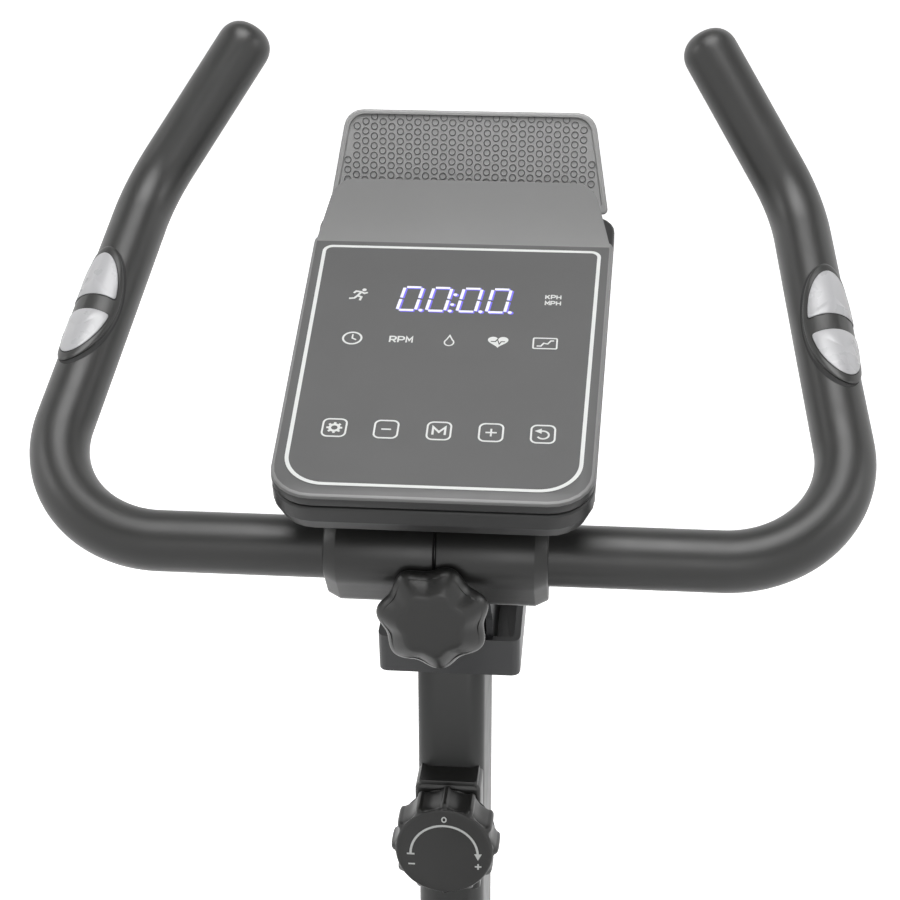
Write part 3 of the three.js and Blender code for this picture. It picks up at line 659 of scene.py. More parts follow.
class Ink:
    """Collects flat shapes, drawn in millimetres, into one thin printed layer."""

    def __init__(self) -> None:
        """Starts with nothing drawn."""
        self.points: list[np.ndarray] = []
        self.faces: list[list[int]] = []
        self.count = 0

    def _add(self, points: np.ndarray, faces: Iterable[Sequence[int]]) -> None:
        """Adds points and the faces between them.

        Args:
            points: The points, shape (n, 2).
            faces: Indices into these points.
        """
        self.faces += [[self.count + int(i) for i in face] for face in faces]
        self.points.append(np.asarray(points, float))
        self.count += len(points)

    def line(self, points: Any, width: float, closed: bool = False) -> "Ink":
        """Draws a line of even width, mitred at its corners.

        Args:
            points: The line's points, shape (n, 2).
            width: Its width.
            closed: True joins the last point to the first.

        Returns:
            This layer.
        """
        at = np.array(points, float)
        back = np.roll(at, 1, 0) if closed else np.vstack([2 * at[0] - at[1], at[:-1]])
        ahead = np.roll(at, -1, 0) if closed else np.vstack([at[1:], 2 * at[-1] - at[-2]])
        before, after = unit(at - back), unit(ahead - at)
        both = before + after
        across = unit(np.stack([-both[:, 1], both[:, 0]], 1))
        square = across[:, 1] * before[:, 0] - across[:, 0] * before[:, 1]
        edge = across * (width / 2 / np.clip(np.abs(square), 0.4, 1))[:, None]
        count = len(at)
        first = np.arange(count if closed else count - 1)
        second = (first + 1) % count
        quads = np.stack([first, first + count, second + count, second], 1)
        self._add(np.vstack([at + edge, at - edge]), quads)
        return self

    def fill(self, points: Any) -> "Ink":
        """Fills an outline with one face."""
        self._add(np.array(points, float), [range(len(points))])
        return self

    def frame(self, x: float, y: float, half: tuple[float, float], radius: float, width: float,
              steps: int) -> "Ink":
        """Draws a box with round corners.

        Args:
            x, y: The box's middle.
            half: Half its width and half its height.
            radius: The radius of its corners.
            width: The width of the line.
            steps: The number of pieces in each corner.

        Returns:
            This layer.
        """
        corners = [(x + a * half[0], y + b * half[1], radius)
                   for a, b in ((-1, -1), (1, -1), (1, 1), (-1, 1))]
        return self.line(rounded(corners, steps), width, closed=True)

    def disc(self, x: float, y: float, radius: float) -> "Ink":
        """Fills a circle."""
        return self.fill(circle(radius, around(20), x, y))

    def arc(self, x: float, y: float, radius: float, start: float, end: float,
            width: float) -> "Ink":
        """Draws an arc between two angles in degrees."""
        return self.line(circle(radius, np.radians(np.linspace(start, end, 33)), x, y), width)

    def letters(self, text: str, x: float, y: float, size: tuple[float, float],
                stroke: float) -> "Ink":
        """Draws a generic unit or sign, letter by letter, about a point.

        Args:
            text: The letters.
            x, y: The middle of the word.
            size: The word's width and height.
            stroke: The width of the lines.

        Returns:
            This layer.
        """
        width, height = size
        step = width / len(text)
        letter = step * 0.70
        for i, sign in enumerate(text):
            left = x - width / 2 + i * step + (step - letter) / 2
            for run in LETTERS[sign]:
                self.line(np.array(run) * (letter, height) + (left, y - height / 2), stroke)
        return self

    def mesh(self, name: str, place: Place, height: float,
             thickness: float = 0.12) -> bpy.types.Mesh:
        """Gives the layer its thickness and place.

        Args:
            name: The mesh's name.
            place: The frame that it is drawn in.
            height: The height of its underside.
            thickness: The ink's thickness.

        Returns:
            The mesh.
        """
        flat = np.vstack(self.points)
        points = np.vstack([raised(flat, height + up) for up in (0.0, thickness)])
        used = {(a, b): True for face in self.faces for a, b in zip(face, face[1:] + face[:1])}
        top = len(flat)
        faces = [face[::-1] for face in self.faces]
        faces += [[i + top for i in face] for face in self.faces]
        faces += [[a, b, b + top, a + top] for a, b in used if (b, a) not in used]
        return mesh_from(name, place.world(points), faces, 30.0)


# ---------------------------------------------------------------- handlebar


@dataclass
class Handlebar:
    """The bent bar's foam sleeves and pulse pads."""

    bench: Bench
    sleeve: float = 17.0
    bore: float = 13.6
    start: float = 55.0
    corner: tuple[float, float, float] = (231.5, 0.0, 0.0)
    corner_bend: float = 68.0
    kink: tuple[float, float, float] = (199.9, 228.6, 104.4)
    kink_bend: float = 74.0
    tip: tuple[float, float, float] = (146.1, 284.7, 179.0)
    run_on: float = 30.0
    pad_middle: float = 152.0
    pad_half_length: float = 43.0
    pad_half_arc: float = 19.6
    pad_fullness: float = 1.82
    pad_turn: float = 20.0
    # how far the black rim of painted shade under each pad is moved inward and down
    shade_rim_shift: tuple[float, float] = (1.7, 1.5)
    plate_scale: tuple[float, float] = (0.83, 0.87)
    band_half: float = 5.6
    band_bow: float = 2.2

    def path(self, side: int) -> np.ndarray:
        """Joins the bar's straight runs by arcs, with a run on past the tip.

        Args:
            side: 1 for right, -1 for left.

        Returns:
            The sleeve's centre line, from its inner end.
        """
        start, corner, kink, tip = (np.array(point) * (side, 1, 1) for point in (
            (self.start, 0.0, 0.0), self.corner, self.kink, self.tip))
        beyond = tip + unit(tip - kink) * self.run_on
        line = np.vstack([start[None], fillet(start, corner, kink, self.corner_bend, 40),
                          fillet(corner, kink, tip, self.kink_bend, 40), tip[None], beyond[None]])
        return line + self.bench.pivot("handlebar_tilt")

    def build_sleeve(self, name: str, side: int) -> None:
        """Carries the sleeve's profile along the bar: bore, rounded lip, skin and domed tip.

        The profile is a list of places along the bar, each with its radius; the bar's direction
        is smoothed by sampling it evenly.

        Args:
            name: The sleeve's node.
            side: 1 for right, -1 for left.
        """
        path = self.path(side)
        length = travelled(path)
        end = length[-2]
        inner, outer = np.linspace(end, 0, 60), np.linspace(2.2, end - 2, 190)
        dome = np.radians(np.linspace(0, 88, 16))
        station = np.concatenate([inner, [0, 0.5, 1.3], outer,
                                  end + (self.sleeve - 1.5) * np.sin(dome) ** 0.92])
        radius = np.concatenate([np.full_like(inner, self.bore),
                                 self.sleeve - np.array([1.6, 0.7, 0.2]),
                                 np.full_like(outer, self.sleeve),
                                 self.sleeve * np.cos(dome) ** 0.84])
        dense = np.linspace(0, length[-1], 900)
        slope = unit(np.gradient(sampled(dense, length, path), axis=0))
        tangent = unit(sampled(station, dense, slope))
        up = unit(UP - tangent * tangent[:, 2:])
        out = np.cross(tangent, up)
        turn = around(72)[None, :, None]
        reach = np.cos(turn) * up[:, None] + np.sin(turn) * out[:, None]
        rings = sampled(station, length, path)[:, None] + radius[:, None, None] * reach
        self.bench.piece(f"{name}_foam", skin(name, rings), "grip_foam", (name,))

    def pad_place(self, side: int) -> tuple[np.ndarray, np.ndarray, np.ndarray, np.ndarray]:
        """Finds where a pad sits on the run between the corner and the kink.

        Args:
            side: 1 for right, -1 for left.

        Returns:
            Its centre on the bar's axis, and its directions out, along and normal.
        """
        corner, kink = (np.array(point) * (side, 1, 1) for point in (self.corner, self.kink))
        along = unit(kink - corner)
        up = unit(UP - along * along[2])
        turn = Matrix.Rotation(side * math.radians(self.pad_turn), 3, Vector(along))
        normal = np.array(turn @ Vector(up))
        centre = corner + along * self.pad_middle + self.bench.pivot("handlebar_tilt")
        return centre, np.cross(along, normal), along, normal

    def wrapped(self, side: int, loop: np.ndarray, profile: Profile) -> np.ndarray:
        """Wraps a stacked outline round the sleeve.

        A point at arc a and height h stands at angle a / radius round the bar, h above the sleeve.

        Args:
            side: 1 for right, -1 for left.
            loop: The outline as arc and length.
            profile: Rings as scale and height.

        Returns:
            World rings.
        """
        centre, out, along, normal = self.pad_place(side)
        rings = lift(loop, profile)
        angle = rings[..., :1] / self.sleeve
        reach = self.sleeve + rings[..., 2:]
        away = np.sin(angle) * out + np.cos(angle) * normal
        return centre + along * rings[..., 1:2] + reach * away

    def almond(self, arc: float, length: float) -> np.ndarray:
        """Returns the pad's outline, a superellipse drawn in a little at its ends.

        Args:
            arc, length: Its scales round the bar and along it.

        Returns:
            The outline, shape (n, 2).
        """
        way = circle(1.0, around(240))
        reach = np.array([self.pad_half_arc * arc, self.pad_half_length * length])
        return reach * np.sign(way) * np.abs(way) ** (2 / self.pad_fullness)

    def plate_outline(self, sign: int) -> np.ndarray:
        """Cuts one contact plate out of the pad's outline, along the bowed band between the two.

        Args:
            sign: 1 for the upper plate, -1 for the lower one.

        Returns:
            The outline, evenly spaced and with soft corners.
        """
        def band(arc: np.ndarray) -> np.ndarray:
            """Returns the band's edge at places round the bar."""
            return sign * self.band_half - self.band_bow * (arc / self.pad_half_arc) ** 2

        whole = self.almond(*self.plate_scale)
        kept = whole[sign * (whole[:, 1] - band(whole[:, 0])) > 0]
        arc = np.linspace(-0.80, 0.80, 60) * self.pad_half_arc
        arc = arc[np.abs(arc) < np.abs(kept[:, 0]).max()]
        outline = np.vstack([kept, np.stack([arc, band(arc)], 1)])
        spin = np.arctan2(*(outline - outline.mean(0)).T[::-1])
        return even_loop(outline[np.argsort(spin)], 120, 1.3)

    def build_plate(self, name: str, end: str, side: int, loop: np.ndarray) -> None:
        """Builds one contact plate and the dark line round it, both crowned.

        Args:
            name: The side's name.
            end: The plate's end of the pad, upper or lower.
            side: 1 for right, -1 for left.
            loop: The plate's outline.
        """
        crown = ((1.0, -0.35), (0.985, -0.12), (0.95, 0.0), (0.5, 0.08), (0.02, 0.1))
        meshes = []
        for label, grow, top in (("line", 1.05, 1.72), ("plate", 1.0, 2.05)):
            profile = [(0.02 * grow, 0.6), (grow, 0.6)]
            profile += [(scale * grow, top + rise) for scale, rise in crown]
            meshes.append(skin(label, self.wrapped(side, loop, profile)))
        self.bench.piece(f"contact_line_{end}_{name}", meshes[0], "black_rubber",
                         body="handlebar", slot="black_plastic")
        self.bench.piece(f"contact_{end}_{name}", meshes[1], "contact_metal",
                         (f"pulse_plate_{end}_{name}",))

    def build_pad(self, name: str, side: int) -> None:
        """Builds the pad, a black rim as painted shade under it, and its two contact plates.

        Args:
            name: The side's name.
            side: 1 for right, -1 for left.
        """
        domed = [(0.02, -0.8), (0.5, -0.8), (1.0, -0.8), (1.0, 0.9), (0.985, 1.25), (0.955, 1.45),
                 (0.9, 1.55), (0.6, 1.6), (0.3, 1.6), (0.02, 1.6)]
        pad = self.wrapped(side, even_loop(self.almond(1.0, 1.0), 120, 0.8), domed)
        self.bench.piece(f"pulse_pad_{name}", skin("pad", pad), "grip_foam",
                         (f"pulse_base_{name}",))
        # a black rim, moved inward and down, paints the shade of the pad's steep wall
        flat = [(0.02, -0.9), (1.0, -0.9), (1.0, 0.1), (0.985, 0.18), (0.5, 0.18), (0.02, 0.18)]
        inward, down = self.shade_rim_shift
        rim = even_loop(self.almond(1.05, 1.02), 120, 0.8) - (side * inward, down)
        self.bench.piece(f"pulse_shade_rim_{name}", skin("pad_shade_rim", self.wrapped(side, rim, flat)),
                         "black_rubber", body="handlebar", slot="black_plastic")
        for end, sign in (("upper", 1), ("lower", -1)):
            self.build_plate(name, end, side, self.plate_outline(sign))

    def build(self) -> None:
        """Builds both sides and the steel bar."""
        for name, side in (("left", -1), ("right", 1)):
            self.build_sleeve(f"grip_sleeve_{name}", side)
            self.build_pad(name, side)
        self.bench.softened("handlebar_tube", 0.0)


# ---------------------------------------------------------------- clamp and post


@dataclass
class Clamp:
    """The clamp's covers, the star knob and its bolt."""

    bench: Bench
    half: float = 61.0
    radius: float = 21.5
    skirt_radius: float = 13.0
    skirt: tuple[float, float] = (2.0, -19.8)
    bar: float = 17.5
    lobes: int = 7
    lobe: float = 1.9
    knob: float = 28.7
    phase: float = 72.0
    tilt: float = 9.0

    def reach(self, turn: np.ndarray, inset: float) -> np.ndarray:
        """Finds the outline that wraps the bar's circle and the skirt's circle below it.

        Points are spread over the band between the two circles, and the farthest at each angle
        is kept.

        Args:
            turn: The angles round the bar.
            inset: How far both circles are shrunk.

        Returns:
            The outline's distance from the bar at each angle.
        """
        dense = around(1440)
        upper, lower = (circle(radius - inset, dense, y, z) for y, z, radius in (
            (0, 0, self.radius), (*self.skirt, self.skirt_radius)))
        steps = np.linspace(0, 1, 40)[:, None, None]
        cloud = (upper * (1 - steps) + lower * steps).reshape(-1, 2)
        part = np.arctan2(cloud[:, 1], cloud[:, 0]) / (2 * np.pi)
        far = np.zeros(len(turn))
        np.maximum.at(far, np.round(part * len(turn)).astype(int) % len(turn),
                      np.hypot(cloud[:, 0], cloud[:, 1]))
        return far

    def build_cover(self, name: str, side: int) -> None:
        """Carries the outline along the bar, with a chamfered seam and a bevelled end.

        Args:
            name: The cover's node.
            side: 1 for right, -1 for left.
        """
        seam = 0.35
        profile = [(seam, 1.3), (1.1, 0.25), (2.2, 0.0), (30.0, 0.0), (53.6, 0.0), (54.0, 0.1),
                   (60.4, 3.3), (self.half, 4.0)]
        turn = around(180)
        stations = [(x, self.reach(turn, inset)) for x, inset in profile]
        stations += [(x, np.full_like(turn, self.bar)) for x in (self.half, 40.0, 20.0, seam)]
        rings = [np.column_stack([np.full_like(turn, side * x), circle(radius, turn)])
                 for x, radius in stations]
        mesh = skin(name, np.array(rings) + self.bench.pivot("handlebar_tilt"), looped=True,
                    sharp=20.0)
        self.bench.piece(f"{name}_shell", mesh, "black_plastic", (name,))

    def build_knob(self) -> None:
        """Builds the star knob: a small flat face, soft flanks and lobes that fade towards it.

        The profile gives the scale and height of each ring. A cosine of the angle makes the
        lobes, and also lowers the flanks between them.
        """
        x, y, z = self.bench.pivot("star_knob_turn")
        place = Place.at(x, y, z, 90 - self.tilt)
        outline = eased([(0.02, -18), (0.6, -18), (0.92, -18), (1.0, -17), (1.03, -15),
                         (0.99, -12), (0.84, -8.0), (0.68, -4.9), (0.6, -4.0), (0.3, -4.0),
                         (0.02, -4.0)], 6)
        turn = around(196)[None]
        scale, height = outline[:, :1], outline[:, 1:]
        wave = np.cos(self.lobes * (turn - math.radians(self.phase)))
        radius = scale * self.knob + self.lobe * wave * np.clip(scale, 0, 1) ** 1.5
        hollow = 0.9 * (1 - wave) * np.clip(scale - 0.55, 0, 0.4)
        rings = spun(radius, np.where(height > -10, height - hollow, height), turn)
        self.bench.piece("star_knob_grip", skin("knob", rings, place, sharp=60), "black_plastic",
                         ("clamp_knob",))
        bolt = eased([(0.1, -64), (3.4, -64), (4.0, -63), (4.0, -17)], 4)
        rings = spun(bolt[:, :1], bolt[:, 1:], turn)
        self.bench.piece("star_knob_bolt", skin("bolt", rings, place), "bare_iron",
                         body="star_knob", slot="bare_iron")

    def build(self) -> None:
        """Builds the covers, the knob and the hidden cap."""
        for name, side in (("clamp_cover_left", -1), ("clamp_cover_right", 1)):
            self.build_cover(name, side)
        self.build_knob()
        self.bench.softened("clamp_cap", 0.4)
        self.bench.softened("post_head", 1.2)


@dataclass
class Post:
    """The leaning post, its socket, the dial's housing and the dial."""

    bench: Bench
    foot: tuple[float, float] = (98.0, -110.0)
    lean: float = 9.0
    width: float = 41.0
    depth: float = 84.0
    top: float = -4.0
    bottom: float = -582.0
    socket: float = -485.0
    ribs: int = 12
    rib_share: float = 0.24
    height: float = 23.0
    dial_face: float = 22.6
    face: float = 43.0
    nose: float = 18.0
    housing_half: float = 20.0
    corner: float = 10.0

    def place(self) -> Place:
        """Returns the post's own frame, at its top, from the bar's axis."""
        x, y, z = self.bench.pivot("handlebar_tilt")
        return Place.at(x, y + self.foot[0], z + self.foot[1], -self.lean)

    def oval(self, grow: float, corner: float = 0.0) -> np.ndarray:
        """Makes the post's section: half circles and straight sides, or a box with round corners.

        Args:
            grow: How far the section is grown.
            corner: The radius of the box's corners, or 0 for the half circles.

        Returns:
            The section, across and along its depth.
        """
        half, long = self.width / 2 + grow, self.depth / 2 + grow
        most = half - 0.2
        radius = min(corner + grow, most) if corner else most
        return even_loop(rounded([(a * half, b * long, radius)
                                  for a, b in ((1, 1), (-1, 1), (-1, -1), (1, -1))]), 120)

    def build_tube(self) -> None:
        """Builds the post, flattened above its socket, and the collar round the socket's mouth.

        Each station is a height, the section's growth and its corners' radius.
        """
        place = self.place()
        stations = ((self.bottom, -0.6, 0.0), (self.bottom + 0.8, 0.0, 0.0),
                    (self.socket + 8, 0.0, 0.0), (self.socket + 40, 0.0, self.corner),
                    (-300, 0.0, self.corner), (-150, 0.0, self.corner),
                    (self.top - 0.8, 0.0, self.corner), (self.top, -0.6, self.corner))
        rings = np.array([raised(self.oval(grow, corner), z) for z, grow, corner in stations])
        self.bench.piece("post_tube", skin("post", rings, place), "post_paint",
                         ("handlebar_post",))
        lip = [(0.4, -14), (5.6, -14), (6.4, -12.5), (6.4, 3), (5.6, 5.5), (3.4, 7), (1.0, 7.4),
               (0.4, 7)]
        rings = np.array([raised(self.oval(grow), self.socket + up) for grow, up in lip])
        self.bench.piece("post_collar", skin("collar", rings, place, looped=True),
                         "black_plastic", slot="black_plastic")
        self.bench.softened("post_socket", 1.0)
        self.bench.softened("tension_cable", 0.0)

    def build_housing(self) -> None:
        """Builds the dial's housing: a plain block on the post's front, with a stepped top.

        Each level is the section's scale about its middle and a height from the dial's axis.
        """
        front = -self.depth / 2 - self.nose
        back = front + self.nose + 6
        half = self.housing_half
        section = rounded([(half, front, 2.5), (half, back, 0.8), (-half, back, 0.8),
                           (-half, front, 2.5)])
        centre = np.array([0.0, (front + back) / 2])
        levels = ((0.1, -44), (0.95, -44), (1.0, -43), (1.0, 27.5), (0.985, 28.6), (0.93, 30.0),
                  (0.91, 30.4), (0.905, 32.2), (0.88, 33.0), (0.1, 33.0))
        rings = [raised((section - centre) * scale + centre, self.dial_drop() + up)
                 for scale, up in levels]
        mesh = skin("housing", np.array(rings), self.place(), sharp=24)
        self.bench.piece("dial_housing", mesh, "black_plastic", ("tension_housing",))

    def dial_drop(self) -> float:
        """Returns the dial's height in the post's own frame."""
        axis = np.append(self.bench.pivot("tension_turn"), 1.0)
        return float((np.linalg.inv(self.place().matrix) @ axis)[2])

    def dial_place(self) -> Place:
        """Returns the dial's frame: its back at height 0, x to the right and y up the post."""
        depth = self.height - self.depth / 2 - self.face
        return self.place().then(0, depth, self.dial_drop(), 90)

    def build_dial(self) -> None:
        """Builds the dial: ribs round the rim, scallops between them and a lipped flat face.

        Over each rib's share of the turn, a flat-topped bump stands for the rib and a cosine for
        the scallop beside it. Both act only on the rim.
        """
        place = self.dial_place()
        outline = eased([(0.1, 0), (27, 0), (30.6, 0.6), (31.4, 3), (31.4, 14), (31.1, 18.4),
                         (30.3, 20.6), (29.4, 22.4), (28.6, 23), (27.6, 22.7),
                         (14, self.dial_face), (0.1, self.dial_face)], 6)
        turn = around(288)[None]
        r, h = outline[:, :1], outline[:, 1:]
        cycle = np.abs((turn * self.ribs / (2 * np.pi) + 0.5) % 1 - 0.5) * 2
        share = self.rib_share
        rib = np.clip(1 - (cycle / share) ** 4, 0, 1)
        beside = np.clip((cycle - share) / (1 - share), 0, 1)
        scallop = np.cos(beside * np.pi / 2 + np.pi / 2)
        rim = np.clip((r - 29.5) / 1.0, 0, 1)
        radius = r + rim * (1.4 * rib + 1.8 * scallop * (1 - rib))
        mesh = skin("dial", spun(radius, h, turn), place, sharp=38)
        self.bench.piece("dial_cap", mesh, "black_plastic", ("tension_knob",))
        # the dial's printed marks glow faintly: painted light
        marks = self.dial_ink().mesh("marks", place, self.dial_face + 0.12)
        self.bench.piece("dial_marks", marks, "white_ink_painted_glow", body="tension_dial",
                         slot="black_plastic")

    def dial_ink(self) -> Ink:
        """Draws the dial's arc and arrow, its nought, and its minus and plus signs."""
        ink = Ink().arc(0, -2.2, 20.4, 181, 4, 1.4).line([(-22.6, -2.6), (-18.0, -2.6)], 1.1)
        ink.fill([(18.2, -0.8), (20.5, -5.4), (22.8, -0.8)])
        ink.line(circle(1.0, around(28)) * (1.25, 1.65) + (0, 22.6), 0.8, closed=True)
        minus, plus, low = -19.8, 20.6, -9.8
        for x in (minus, plus):
            ink.line([(x - 2.0, low), (x + 2.0, low)], 1.0)
        return ink.line([(plus, low - 2.0), (plus, low + 2.0)], 1.0)

    def build(self) -> None:
        """Builds the post and the dial."""
        self.build_tube()
        self.build_housing()
        self.build_dial()


# ---------------------------------------------------------------- console


@dataclass
class Console:
    """The console: its case, its panel's prints and digits, and the tablet rest."""

    bench: Bench
    edge: tuple[float, float] = (-41.6, 60.8)
    tilt: float = 9.8
    rest_v: float = 264.0
    rest_w: float = -5.2
    rest_tilt: float = 55.0
    rest_length: float = 61.0
    bottom_half: float = 82.0
    top_half: float = 73.0
    ring_pitch: tuple[float, float] = (5.35, 5.9)
    ring: tuple[float, float] = (1.95, 0.26)
    ring_sink: float = 1.25
    ink_height: float = 0.22
    ink_step: float = 0.14
    digit_squash: float = 0.72
    key_half: tuple[float, float] = (6.3, 7.0)
    digits: tuple[float, ...] = (-33.0, -16.2, 1.4, 18.2)
    keys: tuple[float, ...] = (-55.2, -27.3, 1.0, 28.8, 56.4)
    rows: dict[str, float] = field(default_factory=lambda: {
        "digits": 168.0, "signs": 130.3, "keys": 53.6})

    def place(self) -> Place:
        """Returns the face's frame: x across, y up the face and z out of it."""
        x, y, z = self.bench.pivot("handlebar_tilt")
        return Place.at(x, y + self.edge[0], z + self.edge[1], self.tilt)

    def rest_place(self) -> Place:
        """Returns the tablet rest's frame."""
        return self.place().then(0, self.rest_v, self.rest_w, self.rest_tilt)

    def slanted(self, points: Any, u: float) -> np.ndarray:
        """Leans a digit's points to the right as they rise, and moves them to its left edge."""
        at = np.array(points, float) * (1.0, self.digit_squash)
        return np.stack([at[:, 0] + u + 0.12 * (at[:, 1] + 12), at[:, 1] + self.rows["digits"]], 1)

    def digit_ink(self, grow: float, shift: float) -> Ink:
        """Draws four noughts of six bars each, their points and the colon.

        Args:
            grow: How much wider each bar is drawn, for the light round it.
            shift: How far the layer is moved to the right; it moves down by half of this.

        Returns:
            The layer.
        """
        ink = Ink()
        bars = [((1.6, v), (9.9, v)) for v in (15, -15)]
        bars += [((u, low), (u, high)) for u in (0.5, 11.0)
                 for low, high in ((1.1, 13.9), (-13.9, -1.1))]
        dots = [(u, (14.0, -14.8)) for u in self.digits]
        dots += [(self.digits[1], (14.2, v)) for v in (6.5, -6.5)]
        for u in self.digits:
            for ends in bars:
                ink.line(self.slanted(ends, u + shift) - (0, shift / 2), 1.75 + grow)
        for u, point in dots:
            dot = self.slanted([point], u + shift)[0]
            ink.disc(dot[0], dot[1] - shift / 2, 1.2 + grow / 2)
        return ink

    def signs(self, ink: Ink) -> None:
        """Draws the row of signs: clock, speed of turning, drop, heart and track.

        The drop is an open arc closed by a point above it. The heart is the usual curve of
        cosines, 16 across and 13 up.

        Args:
            ink: The layer to draw on.
        """
        v = self.rows["signs"]
        ink.arc(-54.9, v, 5.2, 0, 360, 1.1)
        ink.line([(-54.9, v + 3.4), (-54.9, v), (-52.6, v - 1.4)], 0.9)
        ink.letters("RPM", -27.2, v, (14.0, 5.0), 0.95)
        turn = np.radians(np.linspace(-230, 50, 30))
        drop = circle(1.0, turn) * (2.6, 2.9) + (0, v - 1.4)
        ink.line(np.vstack([drop, [[0, v + 4.8]]]), 0.8, closed=True)
        t = around(48)
        high = 13 * np.cos(t) - 5 * np.cos(2 * t) - 2 * np.cos(3 * t) - np.cos(4 * t)
        ink.fill(np.stack([27.4 + 0.36 * 16 * np.sin(t) ** 3, v + 0.6 + 0.34 * high], 1))
        ink.frame(53.8, v, (6.6, 4.6), 0.8, 0.9, 4)
        climb = [(49.2, -2.4), (51.6, -2.4), (53.0, 0.2), (55.2, -0.4), (57.0, 2.4), (58.8, 2.4)]
        ink.line(np.array(climb) + (0, v), 0.9)

    def runner(self, ink: Ink) -> None:
        """Draws the small runner, a head and five limbs, and the two units across from it.

        Args:
            ink: The layer to draw on.
        """
        u, v = -55.8, 170.6
        neck, hip = (1.2, 2.6), (-0.8, -1.0)
        ink.disc(u + 2.6, v + 4.6, 1.25)
        for limb in ([neck, hip], [neck, (-2.0, 3.2), (-3.2, 1.4)], [neck, (3.0, 1.2), (4.8, 2.2)],
                     [hip, (1.6, -2.2), (1.0, -5.4)], [hip, (-2.4, -3.4), (-5.4, -3.8)]):
            ink.line(np.array(limb) + (u, v), 1.3)
        for unit_name, height in (("KPH", 172.9), ("MPH", 167.2)):
            ink.letters(unit_name, 56.5, height, (9.6, 3.5), 0.72)

    def key_marks(self, ink: Ink) -> None:
        """Draws the five touch keys: settings, less, mode, more and back.

        Args:
            ink: The layer to draw on.
        """
        v = self.rows["keys"]
        for u in self.keys:
            ink.frame(u, v, self.key_half, 3.2, 1.0, 6)
        gear, less, mode, more, back = self.keys
        ink.arc(gear, v, 2.5, 0, 360, 1.5)
        for way in circle(1.0, around(8)):
            ink.line(np.array([way * 3.0, way * 4.3]) + (gear, v), 1.3)
        ink.line([(less - 2.6, v), (less + 2.6, v)], 1.0)
        ink.letters("M", mode, v, (9.4, 6.2), 1.25)
        ink.line([(more - 3.0, v), (more + 3.0, v)], 1.0)
        ink.line([(more, v - 3.0), (more, v + 3.0)], 1.0)
        ink.arc(back, v - 0.6, 3.1, -150, 120, 1.0)
        ink.fill([(back - 4.4, v + 2.4), (back - 0.8, v + 4.4), (back - 0.8, v + 0.4)])

    def build_prints(self) -> None:
        """Prints the border, the signs, the keys, the digits and the light round the digits."""
        border = rounded([(-77.0, 9.5, 22), (77.0, 9.5, 22), (81.8, 217.5, 5),
                          (-81.8, 217.5, 5)], 14)
        ink = Ink().line(border, 2.1, closed=True)
        self.signs(ink)
        self.runner(ink)
        self.key_marks(ink)
        pulse = Ink().line([(23.4, 130.6), (26.0, 130.6), (27.0, 132.6), (28.2, 128.4),
                            (29.2, 130.6), (31.4, 130.6)], 0.6)
        low, high = self.ink_height, self.ink_height + self.ink_step
        for name, layer, finish, height in (
                # the panel's printed marks glow faintly: painted light
                ("panel_marks", ink, "white_ink_painted_glow", low),
                ("digit_light", self.digit_ink(0.5, 0.7), "digit_halo", low),
                ("digit_bars", self.digit_ink(0.0, 0.0), "lit_digit", high),
                ("heart_pulse", pulse, "plastic_deep_shade_and_dark_ink", high)):
            mesh = layer.mesh(name, self.place(), height)
            self.bench.piece(name, mesh, finish, slot="console_panel")

    def ring_middles(self) -> np.ndarray:
        """Spaces the rings in columns, each half a pitch over from the last, inside the recess.

        Returns:
            The rings' middles on the rest, shape (n, 2).
        """
        across, along = self.ring_pitch
        margin = 3.6
        columns = []
        for i, u in enumerate(np.arange(-15, 16) * across):
            v = np.arange(margin + (i % 2) * along / 2, self.rest_length - margin, along)
            edge = np.interp(v, [0, self.rest_length], [self.bottom_half, self.top_half]) - 2.6
            edge -= np.clip(v - (self.rest_length - 10), 0, 10) * 0.5
            v = v[np.abs(u) < edge]
            columns.append(np.stack([np.full_like(v, u), v], 1))
        return np.vstack(columns)

    def build_rings(self) -> None:
        """Covers the tablet rest's recess with raised rings, each a torus sunk in the plate.

        A torus has 14 points round its ring and 5 round its thickness. The rings take a darker copy
        of the plastic, which paints their shade.
        """
        middles = self.ring_middles()
        radius, thick = self.ring
        turn, tube = around(14)[:, None], around(5)[None]
        torus = spun(radius + thick * np.cos(tube), thick * np.sin(tube), turn).reshape(-1, 3)
        points = (torus[None] + raised(middles, -self.ring_sink)[:, None]).reshape(-1, 3)
        a, b = np.meshgrid(np.arange(14), np.arange(5), indexing="ij")
        near, far, beside = a * 5, (a + 1) % 14 * 5, (b + 1) % 5
        quad = np.stack([near + b, far + b, far + beside, near + beside], -1)
        first = np.arange(len(middles)) * len(torus)
        faces = (quad.reshape(1, -1, 4) + first[:, None, None]).reshape(-1, 4)
        mesh = mesh_from("rings", self.rest_place().world(points), faces.tolist(), 80)
        # the rings take the darker copy of the plastic, which paints their shade
        self.bench.piece("tablet_rings", mesh, "plastic_painted_shade", slot="console_plastic")

    def build_face(self) -> None:
        """Dresses the face in painted light and shade, with three copies of one plastic.

        A polygon's finish follows how far it faces the same way as the panel: a darker rim round
        the panel, lighter chamfers and hood, and near-black side walls.
        """
        face = self.bench.softened("console_face", 2.0, "console_plastic")
        for finish in ("plastic_painted_shade", "plastic_deep_shade_and_dark_ink"):
            face.data.materials.append(self.bench.materials[finish])
        out = Vector(self.place().matrix[:3, 2])
        for polygon in face.data.polygons:
            facing = polygon.normal.dot(out)
            # picks a lighter or darker copy of the plastic by facing: painted light and shade
            polygon.material_index = 1 if facing > 0.985 else 2 if facing < 0.3 else 0

